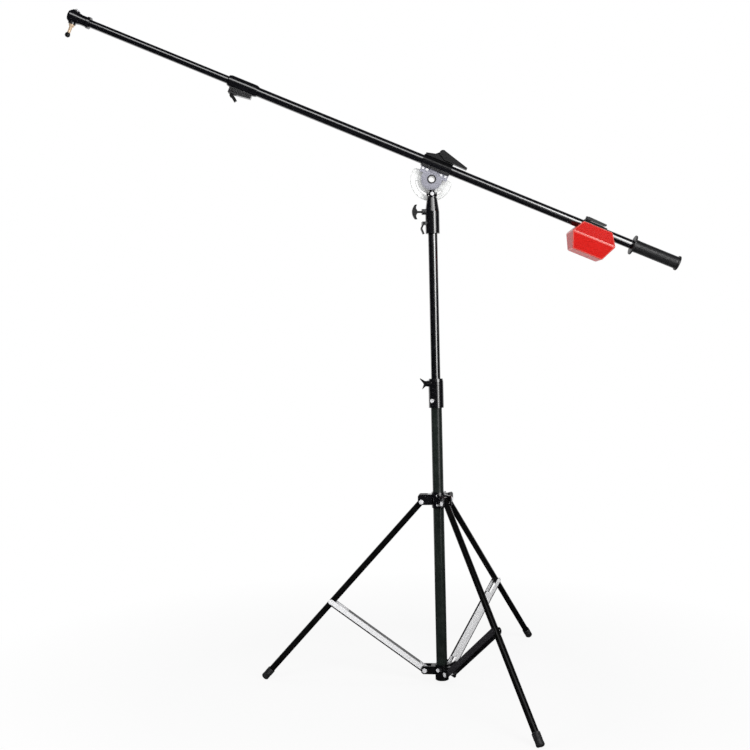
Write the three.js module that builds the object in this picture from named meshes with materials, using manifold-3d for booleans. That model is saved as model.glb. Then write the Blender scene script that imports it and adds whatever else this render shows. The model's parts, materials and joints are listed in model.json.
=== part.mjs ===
// Overhead boom arm on a folding three-legged stand, in millimetres.
// Z points up, the boom's front end points along -X, and the origin lies on the floor under the middle.
import * as THREE from "three";
import { mergeVertices } from "three/addons/utils/BufferGeometryUtils.js";
import Module from "manifold-3d";

const wasm = await Module();
wasm.setup();

// Shared fits
const GAP = 0.3; // between pieces that touch
const RUN = 0.5; // beside pieces that turn or slide past each other
const TUBE_RUN = 1; // round a tube that slides in another
const OVERRUN = 4; // how far a cutting tool passes the face it cuts
const WELD = 0.0001; // points closer than this are one point
const SLIVER = 0.01; // edges shorter than this are closed up
const FINE_SIDES = 28;
const ROUND_SIDES = 20;
const SMALL_SIDES = 12;

// Column
const WALL = 1.5;
const BASE_R = 17.5;
const MID_R = BASE_R - WALL - TUBE_RUN;
const TOP_R = MID_R - WALL - TUBE_RUN;
const BASE_FOOT_Z = 14;
const BASE_TOP_Z = 962;
const MID_LOW_Z = 640;
const TOP_LOW_Z = 700;
const TOP_TOP_Z = 1556;
const MID_TOP_DROP = 18;
const MID_TOP_Z = TOP_TOP_Z - MID_TOP_DROP;
const BUSH_FLANGE = 12;
const BUSH_PLUG = 22;
const BUSH_WALL = 3;

// Tripod
const LEG_AZIMUTHS = { left: 172, front: 292, rear: 52 };
const HUB_PIVOT_Z = 587;
const HUB_PIVOT_R = 54;
const LOW_PIVOT_Z = 42;
const LOW_PIVOT_R = 55;
const FOOT_REACH = 583;
const FOOT_AXIS_Z = 9;
const BRACE_SHARE = 0.569;
const LEG_R = 10;
const LEG_WALL = 1.5;
const LEG_HEAD = 11;
const SHOE_R = 12.5;
const SHOE_LENGTH = 34;
const SHOE_END = 5;
const BOLT_R = 4;
const BOLT_HEAD_R = 8;
const BOLT_HEAD = 4;
const EAR = 4;
const BRACE_WALL = 2;
const BRACE_DEPTH = 20;
const BRACE_TIP = 10;
const BRACE_WEB_BACK = 62;
const BRACE_HUB_BACK = 26;
const RIVET_R = 6.5;
const RIVET = 2.5;

// Tripod hubs
const HUB_WALL = 3.5;
const HUB_BELOW = 20;
const HUB_ABOVE = 30;
const HUB_ARM_BELOW = 10;
const HUB_ARM_ABOVE = 24;
const HUB_ARM_TIP = 11;
const HUB_WEB_R = 34;
const LOW_HUB_FLOOR_Z = 10;
const LOW_HUB_TOP_Z = 60;
const LOW_DRAIN_R = 7;
const LOW_ARM_BELOW = 12;
const LOW_ARM_ABOVE = 14;
const HUB_CORNER = 6;
const CLAMP_BOLT_R = 3;
const CLAMP_BOLT_HEAD_R = 6;
const CLAMP_BOLT_HEAD = 3.5;
const CLAMP_BOLT_SINK = 2.4;
const ARM_BOLT_R = 3;
const ARM_BOLT_HEAD_R = 5;
const ARM_BOLT_HEAD = 3;
const ARM_BOLT_BACK = 10;
const ARM_BOLT_RISE = 17;
const LOW_BOLT_AZIMUTH = 232;
const LOW_BOLT_RISE = 2;

// Collar between base tube and mid tube
const COLLAR_SEAT = 74;
const COLLAR_OVER = 19;
const COLLAR_LOW_Z = BASE_TOP_Z - COLLAR_SEAT;
const COLLAR_TOP_Z = BASE_TOP_Z + COLLAR_OVER;
const COLLAR_WALL = 6.5;
const COLLAR_NECK_WALL = 4.5;
const COLLAR_R = BASE_R + COLLAR_WALL;
const COLLAR_NECK_R = BASE_R + COLLAR_NECK_WALL;
const COLLAR_CHAMFER = 5;
const KNOB_AZIMUTH = 208;
const KNOB_DROP = 15;
const KNOB_Z = COLLAR_TOP_Z - KNOB_DROP;
const KNOB_BOSS_R = 10;
const KNOB_BOSS_RISE = 7;
const KNOB_BOSS_REACH = COLLAR_R + KNOB_BOSS_RISE;
const KNOB_STEM_R = 4;
const KNOB_STEM_SINK = 9;
const KNOB_HUB_R = 9;
const KNOB_HUB = 10;
const WING_LENGTH = 24;
const WING_WIDE = 9;
const WING_THICK = 5;
const WING_TURN = 20;
const PINCH_AZIMUTH = 236;
const PINCH_UP = 23;
const PINCH_Z = COLLAR_LOW_Z + PINCH_UP;
const PINCH_BOSS_R = 8;
const PINCH_BOSS_RISE = 1.5;
const PINCH_BOSS_REACH = COLLAR_R + PINCH_BOSS_RISE;

// Collar between mid tube and top tube
const CROWN_SEAT = 96;
const CROWN_OVER = 16;
const CROWN_LOW_Z = MID_TOP_Z - CROWN_SEAT;
const CROWN_TOP_Z = MID_TOP_Z + CROWN_OVER;
const CROWN_WALL = 7.5;
const CROWN_NECK_WALL = 4;
const CROWN_R = MID_R + CROWN_WALL;
const CROWN_NECK_R = TOP_R + CROWN_NECK_WALL;
const CROWN_TAPER = 42;
const CROWN_TAPER_Z = CROWN_TOP_Z - CROWN_TAPER;
const TKNOB_DROP = 43;
const TKNOB_Z = CROWN_TOP_Z - TKNOB_DROP;
const TKNOB_AZIMUTH = 186;
const TKNOB_BOSS_R = 9.5;
const TKNOB_BOSS_RISE = 11.5;
const TKNOB_BOSS_REACH = CROWN_R + TKNOB_BOSS_RISE;
const TKNOB_STEM_R = 3.5;
const TKNOB_STEM_SINK = 12;
const TKNOB_STAND = 15;
const TKNOB_FACE = TKNOB_BOSS_REACH + TKNOB_STAND;
const TKNOB_DEEP = 16;
const TKNOB_SPAN = 23;
const TKNOB_HORN = 7;
const TKNOB_WIDE = 12;
const HOOK_UP = 38;
const HOOK_LENGTH = 39;
const HOOK_TOP_Z = CROWN_LOW_Z + HOOK_UP;
const HOOK_LOW_Z = HOOK_TOP_Z - HOOK_LENGTH;
const HOOK_BELLY = 13.5;
const HOOK_BULGE = CROWN_R + HOOK_BELLY;
const HOOK_THICK = 5;
const HOOK_WIDE = 12;
const HOOK_PIN_R = 2.5;
const HOOK_EYE_R = 5;
const HOOK_LUG = 4;
const HOOK_LUG_RISE = 11.5;
const HOOK_LUG_REACH = CROWN_R + HOOK_LUG_RISE;
const HOOK_AZIMUTH = 186;

// Swivel neck and tilting plates: heights are measured from the tilt pivot
const PIVOT_RISE = 58;
const PIVOT_Z = TOP_TOP_Z + PIVOT_RISE;
const NECK_PLUG_DEPTH = 60;
const NECK_FLANGE_RIM = 2;
const NECK_FLANGE_R = TOP_R + NECK_FLANGE_RIM;
const NECK_FLANGE = 4;
const NECK_WAIST_R = 9.5;
const NECK_BOSS_R = 6;
const NECK_BOSS_REACH = 16;
const DISC_FRONT = -3.5;
const DISC = 5;
const DISC_R = 34;
const DISC_TAB_HALF = 46;
const DISC_TAB_LOW = 15;
const DISC_TAB_TOP = 28;
const DISC_PAD_FROM = -16;
const DISC_PAD_TO = 8;
const DISC_PAD = 2;
const CHEEK = 6;
const CHEEK_R = 17;
const CHEEK_HALF = 9;
const PLATE_FRONT = 18.3;
const PLATE = 3;
const PLATE_R = 66;
const PLATE_TOP = 19;
const PLATE_CORNER = 22;
const PLATE_SLOT_SWEEP = 66;
const BUSH_BORE_R = 10;
const BUSH_R = 12;
const BUSH_LIP_R = 14;
const BUSH_LIP = 2.5;
const NECK_SCREW_R = 3;
const NECK_SCREW_FROM = 5;
const NECK_SCREW_HEAD_FROM = 12;
const NECK_SCREW_HEAD_R = 6;
const NECK_SCREW_HEAD = 5;
const STUD_DROP = 47;
const STUD_R = 3;
const STUD_HEAD_R = 6;
const STUD_HEAD = 5;
const STUD_NUT_R = 6;
const STUD_NUT = 5;

// Boom
const BOOM_TILT = 23.2;
const REAR_R = 15;
const FRONT_R = REAR_R - WALL - TUBE_RUN;
const REAR_LOW = -624;
const REAR_END = 822;
const FRONT_TIP = -1205;
const FRONT_INNER = -150;

// Boom clamp: places along the boom are from the pivot, heights are from the boom's axis
const CLAMP_FROM = -50;
const CLAMP_TO = 47;
const CLAMP_WALL = 4;
const CLAMP_R = REAR_R + CLAMP_WALL;
const CLAMP_SPLIT = 0.4;
const FOOT_HALF = 46;
const FOOT_FRONT = -14;
const FOOT_BACK = 18;
const FOOT_SKIN = 0.5;
const FOOT_THICK = 11.5;
const LIP_DROP = 10.5;
const FOOT_LOW = -CLAMP_R - FOOT_SKIN;
const FOOT_TOP = FOOT_LOW + FOOT_THICK;
const LIP_LOW = FOOT_LOW - LIP_DROP;
const BOOM_RISE = DISC_TAB_TOP + RUN - FOOT_LOW;
const KNUCKLE_GROOVE = 2;
const KNUCKLE_DEEP = 1.2;
const KNUCKLE_SHARES = [1 / 3, 2 / 3];
const CAP_RIB_HALF = 6;
const CAP_BACK = 47;
const CAP_CREST = 5;
const CAP_BACK_TOP = CLAMP_R + CAP_CREST;
const CAP_SHOULDER = 9;
const CAP_NOSE = 30;
const CAP_NOSE_TOP = CLAMP_R + CAP_CREST;
const CAP_END = 45;
const CAP_BASE = 12;
const HINGE_OUT = 4;
const HINGE_Y = CLAMP_R + HINGE_OUT;
const HINGE_R = 3;
const HINGE_EYE_R = 6;
const HINGE_END = 3;
const EYE_SHARES = [0.3, 0.7];
const LEVER_X = 3;
const LEVER_RISE = 21;
const LEVER_Z = CLAMP_R + LEVER_RISE;
const CAP_HORN = 7;
const CAP_HORN_TOP = LEVER_Z + CAP_HORN;
const LEVER_CAM_R = 11;
const LEVER_PIN_R = 3;
const LEVER_TIP_X = 92;
const LEVER_TIP_RISE = 4;
const LEVER_TIP_Z = CLAMP_R + LEVER_TIP_RISE;
const LEVER_TIP = 6;
const LEVER_HALF = 10;
const LEVER_SOLE = 2;
const LEVER_HANDLE_FROM = 44;
const DISC_BOLT_PLACES = [-39, -25, 23, 38];
const DISC_BOLT_R = 2.5;
const DISC_BOLT_HEAD_R = 4.5;
const DISC_BOLT_HEAD = 3;
const DISC_BOLT_DEEP = 8;
const DISC_BOLT_RISE = 22.5;

// Boom length lock
const LOCK_SEAT = 13;
const LOCK_LENGTH = 99;
const LOCK_TO = REAR_LOW + LOCK_SEAT;
const LOCK_FROM = LOCK_TO - LOCK_LENGTH;
const LOCK_WALL = 4;
const LOCK_R = REAR_R + LOCK_WALL;
const LOCK_END_R = FRONT_R + LOCK_WALL;
const LOCK_CHAMFER = 8;
const LOCK_FIN = 12;
const LOCK_FIN_DROP = LOCK_R + LOCK_FIN;
const LOCK_FIN_WALL = 3;
const LOCK_FIN_INSET = 12;
const LOCK_FIN_BACK = 13;
const LOCK_FIN_FROM = LOCK_FROM + LOCK_FIN_INSET;
const LOCK_FIN_TO = LOCK_TO - LOCK_FIN_BACK;
const TRIGGER_INSET = 13;
const TRIGGER_X = LOCK_FIN_FROM + TRIGGER_INSET;
const TRIGGER_HANG = 11;
const TRIGGER_Z = -LOCK_R - TRIGGER_HANG;
const TRIGGER_R = 7;
const TRIGGER_PIN_R = 2.5;
const TRIGGER_THICK = 10;
const TRIGGER_REACH = 24;
const TRIGGER_DROP = TRIGGER_REACH - TRIGGER_Z;
const TRIGGER_HOOK = 20;
const TRIGGER_HALF = 6;
const TRIGGER_SLOT = 16;

// Head at the front end: places along the boom
const HEAD_SEAT = 29;
const HEAD_LENGTH = 71;
const HEAD_TO = FRONT_TIP + HEAD_SEAT;
const HEAD_FROM = HEAD_TO - HEAD_LENGTH;
const HEAD_WALL = 7.5;
const HEAD_NECK_WALL = 3.5;
const HEAD_COLLAR_WALL = 6;
const HEAD_NOSE_STEP = 4;
const HEAD_R = FRONT_R + HEAD_WALL;
const HEAD_NOSE_R = HEAD_R - HEAD_NOSE_STEP;
const HEAD_NECK_R = FRONT_R + HEAD_NECK_WALL;
const HEAD_COLLAR_R = FRONT_R + HEAD_COLLAR_WALL;
const HEAD_NOSE = 6;
const HEAD_BULB = 24;
const HEAD_TAPER = 18;
const HEAD_COLLAR = 12;
const HEAD_COLLAR_EDGE = 2;
const HEAD_EYE_R = 12;
const SPIGOT_INSET = 18;
const SPIGOT_X = HEAD_FROM + SPIGOT_INSET;
const SPIGOT_R = 7.9;
const SPIGOT_SHAFT_R = 5;
const SPIGOT_FROM = -8;
const SPIGOT_BOSS = 4;
const SPIGOT_SHOULDER = 4;
const SPIGOT_CONE = 5;
const SPIGOT_SHAFT = 19;
const SPIGOT_BOSS_DROP = HEAD_R + SPIGOT_BOSS;
const SPIGOT_CONE_FROM = -SPIGOT_BOSS_DROP - SPIGOT_SHOULDER;
const SPIGOT_CONE_TO = SPIGOT_CONE_FROM - SPIGOT_CONE;
const SPIGOT_END = SPIGOT_CONE_TO - SPIGOT_SHAFT;
const TIP_R = 8;
const TIP_LENGTH = 14;
const TIP_CHAMFER = 4;
const TIP_STUD_R = 2.5;
const TIP_STUD = 8;
const HEAD_SCREW_R = 3;
const HEAD_SCREW_LOW = 6;
const HEAD_SCREW_HEAD_R = 5.5;
const HEAD_SCREW_HEAD = 5;
const HEAD_SCREW_BOSS = 1;
const HEAD_SCREW_SEAT = HEAD_R + HEAD_SCREW_BOSS;

// Counterweight: places along the boom from its own middle, heights from the boom's axis
const WEIGHT_X = 543;
const WEIGHT_TOP = 5;
const WEIGHT_MID = -37;
const WEIGHT_LOW = -88;
const WEIGHT_TOP_HALF = 49;
const WEIGHT_MID_HALF = 73;
const WEIGHT_LOW_HALF = 50;
const WEIGHT_TOP_DEEP = 40;
const WEIGHT_MID_DEEP = 52;
const WEIGHT_LOW_DEEP = 40;
const WCAP_FROM = -44;
const WCAP_TO = 34;
const WCAP_WALL = 3;
const WCAP_FLANGE = 3.5;
const WCAP_R = REAR_R + WCAP_WALL;
const WCAP_HALF = WCAP_R + WCAP_FLANGE;
const WCAP_RIB_HALF = 5;
const WCAP_RIB_REACH = 8;
const WLEVER_X = -33;
const WLEVER_CAM_R = 5.5;
const WLEVER_Z = WCAP_R + RUN + WLEVER_CAM_R;
const WLEVER_TIP_X = 29;
const WLEVER_SOLE = 2;
const WLEVER_TIP = 7;
const WLEVER_CROWN = 2;
const WLEVER_HALF = 9;
const WLEVER_PIN_R = 2.5;
const WLEVER_HANDLE_FROM = 12;

// Grip: places along the boom
const GRIP_OVER = 10;
const GRIP_LENGTH = 160;
const GRIP_TO = REAR_END + GRIP_OVER;
const GRIP_FROM = GRIP_TO - GRIP_LENGTH;
const GRIP_WALL = 5;
const GRIP_R = REAR_R + GRIP_WALL;
const GUARD_RIM = 12;
const GUARD_R = GRIP_R + GUARD_RIM;
const GUARD = 5;
const GRIP_COLLAR_STEP = 1;
const GRIP_COLLAR_R = GRIP_R + GRIP_COLLAR_STEP;
const GRIP_COLLAR = 12;
const GRIP_END_RIM = 4;
const GRIP_END_R = GRIP_R + GRIP_END_RIM;
const GRIP_END = 6;
const CAP_PLUG = 16;
const CAP_DISC = 6;

// Values worked out from the sizes above
const HUB_BORE_R = BASE_R + RUN;
const HUB_R = HUB_BORE_R + HUB_WALL;
const FORK_HALF = LEG_R + RUN;
const BRACE_HALF = FORK_HALF + BRACE_WALL;
const LOW_FORK_HALF = BRACE_HALF + RUN;
const LEG_RUN = FOOT_REACH - HUB_PIVOT_R;
const LEG_FALL = HUB_PIVOT_Z - FOOT_AXIS_Z;
const LEG_LENGTH = Math.hypot(LEG_RUN, LEG_FALL);
const LEG_ANGLE = Math.atan2(LEG_FALL, LEG_RUN);
const BRACE_PIN_AT = LEG_LENGTH * BRACE_SHARE;
const BRACE_RUN = HUB_PIVOT_R + LEG_RUN * BRACE_SHARE - LOW_PIVOT_R;
const BRACE_LIFT = HUB_PIVOT_Z - LEG_FALL * BRACE_SHARE - LOW_PIVOT_Z;
const BRACE_LENGTH = Math.hypot(BRACE_RUN, BRACE_LIFT);
const BRACE_ANGLE = Math.atan2(BRACE_LIFT, BRACE_RUN);
const TILT = THREE.MathUtils.degToRad(BOOM_TILT);
const CHEEK_FRONT = DISC_FRONT + DISC + RUN;
const CHEEK_BACK = CHEEK_FRONT + CHEEK;

// Finishes
const finish = (color, roughness, metalness) =>
  new THREE.MeshStandardMaterial({ color, roughness, metalness });
const BLACK_GLOSS = finish(0x08080a, 0.22, 0.0);
const BLACK_CAST = finish(0x121212, 0.45, 0.0);
const DARK_TUBE = finish(0x1c1d1a, 0.35, 0.2);
const SILVER = finish(0xc9cbd2, 0.32, 0.9);
const BOLT_STEEL = finish(0xd8d9de, 0.25, 1.0);
const RUBBER = finish(0x101113, 0.8, 0.0);
const BRASS = finish(0xd9a86a, 0.28, 1.0);
const RED = finish(0xd3201c, 0.35, 0.0);
const PALE = finish(0xf1f3f5, 0.2, 0.0);
const NYLON = finish(0x26272a, 0.6, 0.0);

// Turns a shape made along Z so that it lies along another axis
const AXES = {
  x: new THREE.Matrix4().makeBasis(
    new THREE.Vector3(0, 1, 0),
    new THREE.Vector3(0, 0, 1),
    new THREE.Vector3(1, 0, 0),
  ),
  y: new THREE.Matrix4().makeBasis(
    new THREE.Vector3(0, 0, 1),
    new THREE.Vector3(1, 0, 0),
    new THREE.Vector3(0, 1, 0),
  ),
  z: new THREE.Matrix4(),
};

// A closed geometry as a solid that can be joined and cut
function solidOf(geometry) {
  const loose = geometry.index ? geometry.toNonIndexed() : geometry;
  const bare = new THREE.BufferGeometry().setAttribute("position", loose.getAttribute("position"));
  const merged = mergeVertices(bare, WELD);
  const index = merged.index.array;
  const faces = [];
  for (let i = 0; i < index.length; i += 3) {
    const [a, b, c] = [index[i], index[i + 1], index[i + 2]];
    if (a !== b && b !== c && c !== a) faces.push([a, b, c]);
  }
  const build = (list) =>
    new wasm.Manifold(
      new wasm.Mesh({
        numProp: 3,
        vertProperties: merged.attributes.position.array,
        triVerts: new Uint32Array(list.flat()),
      }),
    );
  const made = build(faces);
  return made.volume() < 0 ? build(faces.map(([a, b, c]) => [a, c, b])) : made;
}

// A solid turned about an axis, from [radius, height] points that end on the axis or where they began
function turned(points, axis = "z", sides = ROUND_SIDES) {
  const profile = points.map(([r, h]) => new THREE.Vector2(r, h));
  const geometry = new THREE.LatheGeometry(profile, sides);
  geometry.rotateX(Math.PI / 2);
  geometry.applyMatrix4(AXES[axis]);
  return solidOf(geometry);
}

// A round bar between two places on an axis
function rod(radius, from, to, axis = "z", sides = ROUND_SIDES) {
  const points = [
    [0, from],
    [radius, from],
    [radius, to],
    [0, to],
  ];
  return turned(points, axis, sides);
}

// A round bar with one or two steps: each row is a radius and where that radius ends
function stepped(from, rows, axis = "z", sides = ROUND_SIDES) {
  const points = [[0, from]];
  let at = from;
  for (const [radius, end] of rows) {
    points.push([radius, at], [radius, end]);
    at = end;
  }
  points.push([0, at]);
  return turned(points, axis, sides);
}

// A pipe between two places on an axis
function pipe(outer, inner, from, to, axis = "z", sides = ROUND_SIDES) {
  const points = [
    [inner, from],
    [outer, from],
    [outer, to],
    [inner, to],
    [inner, from],
  ];
  return turned(points, axis, sides);
}

// A flat outline between two places on an axis: the outline is in (x, z) for y, and (x, y) for z
function slab(outline, from, to, axis = "y") {
  const listed = Array.isArray(outline);
  const shape = listed ? new THREE.Shape(outline.map(([u, v]) => new THREE.Vector2(u, v))) : outline;
  const options = { depth: to - from, bevelEnabled: false, curveSegments: SMALL_SIDES };
  const geometry = new THREE.ExtrudeGeometry(shape, options);
  if (axis === "y") {
    geometry.rotateX(Math.PI / 2);
    geometry.translate(0, to, 0);
  } else if (axis === "x") {
    geometry.applyMatrix4(AXES.x);
    geometry.translate(from, 0, 0);
  } else {
    geometry.translate(0, 0, from);
  }
  return solidOf(geometry);
}

// The outline of a strap of even thickness that follows a curve through points
function strap(points, thickness, steps = SMALL_SIDES) {
  const curve = new THREE.SplineCurve(points.map(([u, v]) => new THREE.Vector2(u, v)));
  const [left, right] = [[], []];
  for (let i = 0; i <= steps; i += 1) {
    const at = curve.getPoint(i / steps);
    const along = curve.getTangent(i / steps);
    const [u, v] = [(-along.y * thickness) / 2, (along.x * thickness) / 2];
    left.push([at.x + u, at.y + v]);
    right.unshift([at.x - u, at.y - v]);
  }
  return left.concat(right);
}

// A box between two corners
function block(low, high) {
  const size = high.map((v, i) => v - low[i]);
  const geometry = new THREE.BoxGeometry(...size);
  geometry.translate(...low.map((v, i) => v + size[i] / 2));
  return solidOf(geometry);
}

const join = (first, ...rest) => rest.reduce((a, b) => a.add(b), first);
const cut = (first, ...rest) => rest.reduce((a, b) => a.subtract(b), first);
const moved = (solid, x, y, z) => solid.translate([x, y, z]);

// A solid turned about Z by degrees, then about nothing else
const aimed = (solid, degrees) => solid.rotate([0, 0, degrees]);

// Adds a named piece to a group
function piece(parent, name, solid, material) {
  const mesh = solid.asOriginal().simplify(SLIVER).getMesh();
  const geometry = new THREE.BufferGeometry();
  geometry.setAttribute(
    "position",
    new THREE.BufferAttribute(new Float32Array(mesh.vertProperties), 3),
  );
  geometry.setIndex(new THREE.BufferAttribute(new Uint32Array(mesh.triVerts), 1));
  geometry.computeVertexNormals();
  const made = new THREE.Mesh(geometry, material);
  made.name = name;
  parent.add(made);
  return made;
}

// A group placed and tipped about Y inside another
function frameAt(parent, x, y, z, tip = 0) {
  const group = new THREE.Group();
  group.position.set(x, y, z);
  group.rotation.y = tip;
  parent.add(group);
  return group;
}

// A round-headed bolt with a nut, from head face to nut face along an axis
function bolt(shank, headR, head, half, axis) {
  const rows = [
    [headR, -half],
    [shank, half],
    [headR, half + head],
  ];
  return stepped(-half - head, rows, axis, SMALL_SIDES);
}

const object = new THREE.Group();
object.name = "overhead_boom_arm";

// Column tubes, the nylon plugs in their lower ends, and the travel between them
function makeColumn() {
  const tubes = [
    ["base_tube", BASE_R, BASE_FOOT_Z, BASE_TOP_Z, DARK_TUBE],
    ["mid_tube", MID_R, MID_LOW_Z, MID_TOP_Z, BLACK_GLOSS],
    ["top_tube", TOP_R, TOP_LOW_Z, TOP_TOP_Z, BLACK_GLOSS],
  ];
  for (const [name, radius, low, high, material] of tubes) {
    piece(object, name, pipe(radius, radius - WALL, low, high, "z", FINE_SIDES), material);
  }
  const plugs = [
    ["mid_tube_plug", BASE_R - WALL - GAP, MID_R - WALL - GAP, MID_LOW_Z - GAP],
    ["top_tube_plug", MID_R - WALL - GAP, TOP_R - WALL - GAP, TOP_LOW_Z - GAP],
  ];
  for (const [name, flangeR, plugR, at] of plugs) {
    const body = stepped(at - BUSH_FLANGE, [[flangeR, at], [plugR, at + BUSH_PLUG]], "z", FINE_SIDES);
    const bore = rod(plugR - BUSH_WALL, at - BUSH_FLANGE - OVERRUN, at + BUSH_PLUG + OVERRUN);
    piece(object, name, cut(body, bore), NYLON);
  }
}

// A hub with a forked arm towards each leg
function hubBody(low, high, outer, forkHalf, pivotR, pivotZ, below, above) {
  const tipR = pivotR + HUB_ARM_TIP;
  const start = HUB_BORE_R + HUB_WALL / 2;
  const ear = [
    [start, pivotZ - below],
    [tipR - HUB_CORNER, pivotZ - below],
    [tipR, pivotZ - below + HUB_CORNER],
    [tipR, pivotZ + above - HUB_CORNER],
    [tipR - HUB_CORNER, pivotZ + above],
    [start, pivotZ + above],
  ];
  const web = [
    [start, pivotZ - below],
    [HUB_WEB_R, pivotZ - below],
    [HUB_WEB_R, pivotZ + above],
    [start, pivotZ + above],
  ];
  const half = forkHalf + EAR;
  const arm = join(slab(ear, -half, -forkHalf), slab(ear, forkHalf, half), slab(web, -half, half));
  const hole = moved(
    rod(BOLT_R + GAP, -half - OVERRUN, half + OVERRUN, "y", SMALL_SIDES),
    pivotR,
    0,
    pivotZ,
  );
  const drilled = cut(arm, hole);
  const sleeve = rod(outer, low, high, "z", FINE_SIDES);
  return join(sleeve, ...Object.values(LEG_AZIMUTHS).map((turn) => aimed(drilled, turn)));
}

// A short cap screw that lies radially in a hub or collar
function radialScrew(azimuth, z, faceR, sink, shankR, headR, head) {
  const screw = stepped(
    faceR - sink,
    [[shankR, faceR + GAP], [headR, faceR + GAP + head]],
    "x",
    SMALL_SIDES,
  );
  return aimed(moved(screw, 0, 0, z), azimuth);
}

// The hole that such a screw sits in
function radialHole(azimuth, z, faceR, sink, shankR) {
  return aimed(
    moved(rod(shankR + GAP, faceR - sink - GAP, faceR + OVERRUN, "x", SMALL_SIDES), 0, 0, z),
    azimuth,
  );
}

// Lower hub, fixed on the foot of the base tube
function makeLowerHub() {
  const outer = HUB_R;
  const boltZ = LOW_PIVOT_Z + LOW_BOLT_RISE;
  const raw = hubBody(
    LOW_HUB_FLOOR_Z,
    LOW_HUB_TOP_Z,
    outer,
    LOW_FORK_HALF,
    LOW_PIVOT_R,
    LOW_PIVOT_Z,
    LOW_ARM_BELOW,
    LOW_ARM_ABOVE,
  );
  const socket = rod(BASE_R + GAP, BASE_FOOT_Z - GAP, LOW_HUB_TOP_Z + OVERRUN, "z", FINE_SIDES);
  const drain = rod(LOW_DRAIN_R, LOW_HUB_FLOOR_Z - OVERRUN, LOW_HUB_TOP_Z);
  const hole = radialHole(LOW_BOLT_AZIMUTH, boltZ, outer, CLAMP_BOLT_SINK, CLAMP_BOLT_R);
  piece(object, "lower_hub", cut(raw, socket, drain, hole), BLACK_CAST);
  const screw = radialScrew(
    LOW_BOLT_AZIMUTH,
    boltZ,
    outer,
    CLAMP_BOLT_SINK,
    CLAMP_BOLT_R,
    CLAMP_BOLT_HEAD_R,
    CLAMP_BOLT_HEAD,
  );
  piece(object, "lower_hub_screw", screw, BOLT_STEEL);
}

// Upper hub, which slides on the base tube when the legs fold
function makeUpperHub() {
  const low = HUB_PIVOT_Z - HUB_BELOW;
  const high = HUB_PIVOT_Z + HUB_ABOVE;
  const raw = hubBody(
    low, high, HUB_R, FORK_HALF, HUB_PIVOT_R, HUB_PIVOT_Z, HUB_ARM_BELOW, HUB_ARM_ABOVE,
  );
  const bore = rod(HUB_BORE_R, low - OVERRUN, high + OVERRUN, "z", FINE_SIDES);
  const rivet = bolt(ARM_BOLT_R, ARM_BOLT_HEAD_R, ARM_BOLT_HEAD, FORK_HALF + EAR, "y");
  const placed = moved(rivet, HUB_PIVOT_R - ARM_BOLT_BACK, 0, HUB_PIVOT_Z + ARM_BOLT_RISE);
  const rivets = Object.values(LEG_AZIMUTHS).map((turn) => aimed(placed, turn));
  piece(object, "upper_hub", join(cut(raw, bore), ...rivets), BLACK_CAST);
}

// A leg from its pivot at zero to its shoe, along X
function legTube() {
  const end = LEG_LENGTH - SHOE_END - GAP;
  const tube = pipe(LEG_R, LEG_R - LEG_WALL, -LEG_HEAD, end, "x");
  const pivot = rod(BOLT_R + GAP, -LEG_R - OVERRUN, LEG_R + OVERRUN, "y", SMALL_SIDES);
  return cut(tube, pivot, moved(pivot, BRACE_PIN_AT, 0, 0));
}

// The rubber shoe at a leg's foot, cut level where it stands on the floor
function legShoe() {
  const from = LEG_LENGTH - SHOE_LENGTH;
  const shoe = rod(SHOE_R, from, LEG_LENGTH + SHOE_LENGTH, "x");
  const socket = rod(LEG_R + GAP, from - OVERRUN, LEG_LENGTH - SHOE_END, "x");
  const reach = SHOE_LENGTH * 2;
  const below = block([LEG_LENGTH - reach, -reach, -reach], [LEG_LENGTH + reach, reach, 0]);
  const level = below.translate([-LEG_LENGTH, 0, 0]).rotate(
    [0, -THREE.MathUtils.radToDeg(LEG_ANGLE), 0],
  );
  const floor = level.translate(
    [LEG_LENGTH - FOOT_AXIS_Z * Math.sin(-LEG_ANGLE), 0, -FOOT_AXIS_Z * Math.cos(LEG_ANGLE)],
  );
  const past = block([LEG_LENGTH + SHOE_END, -reach, -reach], [LEG_LENGTH + reach, reach, reach]);
  return cut(shoe, socket, floor, past);
}

// A folded channel from its hub pivot at zero to the leg pivot, along X, open on its -Z side
function braceChannel() {
  const half = BRACE_DEPTH / 2;
  const end = BRACE_LENGTH + BRACE_TIP;
  const outline = [
    [-BRACE_TIP, -half + HUB_CORNER],
    [-BRACE_TIP + HUB_CORNER, -half],
    [end - HUB_CORNER, -half],
    [end, -half + HUB_CORNER],
    [end, half - HUB_CORNER],
    [end - HUB_CORNER, half],
    [-BRACE_TIP + HUB_CORNER, half],
    [-BRACE_TIP, half - HUB_CORNER],
  ];
  const web = block(
    [BRACE_HUB_BACK, -BRACE_HALF, half - BRACE_WALL],
    [BRACE_LENGTH - BRACE_WEB_BACK, BRACE_HALF, half],
  );
  const flanges = [-1, 1].map((side) => {
    const inner = side > 0 ? FORK_HALF : -BRACE_HALF;
    return slab(outline, inner, inner + BRACE_WALL);
  });
  const hole = rod(BOLT_R + GAP, -BRACE_HALF - OVERRUN, BRACE_HALF + OVERRUN, "y", SMALL_SIDES);
  const rivets = [-1, 1].map((side) => {
    const inner = side > 0 ? BRACE_HALF - BRACE_WALL / 2 : -BRACE_HALF - RIVET;
    const head = rod(RIVET_R, inner, inner + RIVET + BRACE_WALL / 2, "y", SMALL_SIDES);
    return moved(head, BRACE_LENGTH, 0, 0);
  });
  return join(cut(join(web, ...flanges), hole), ...rivets);
}

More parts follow.
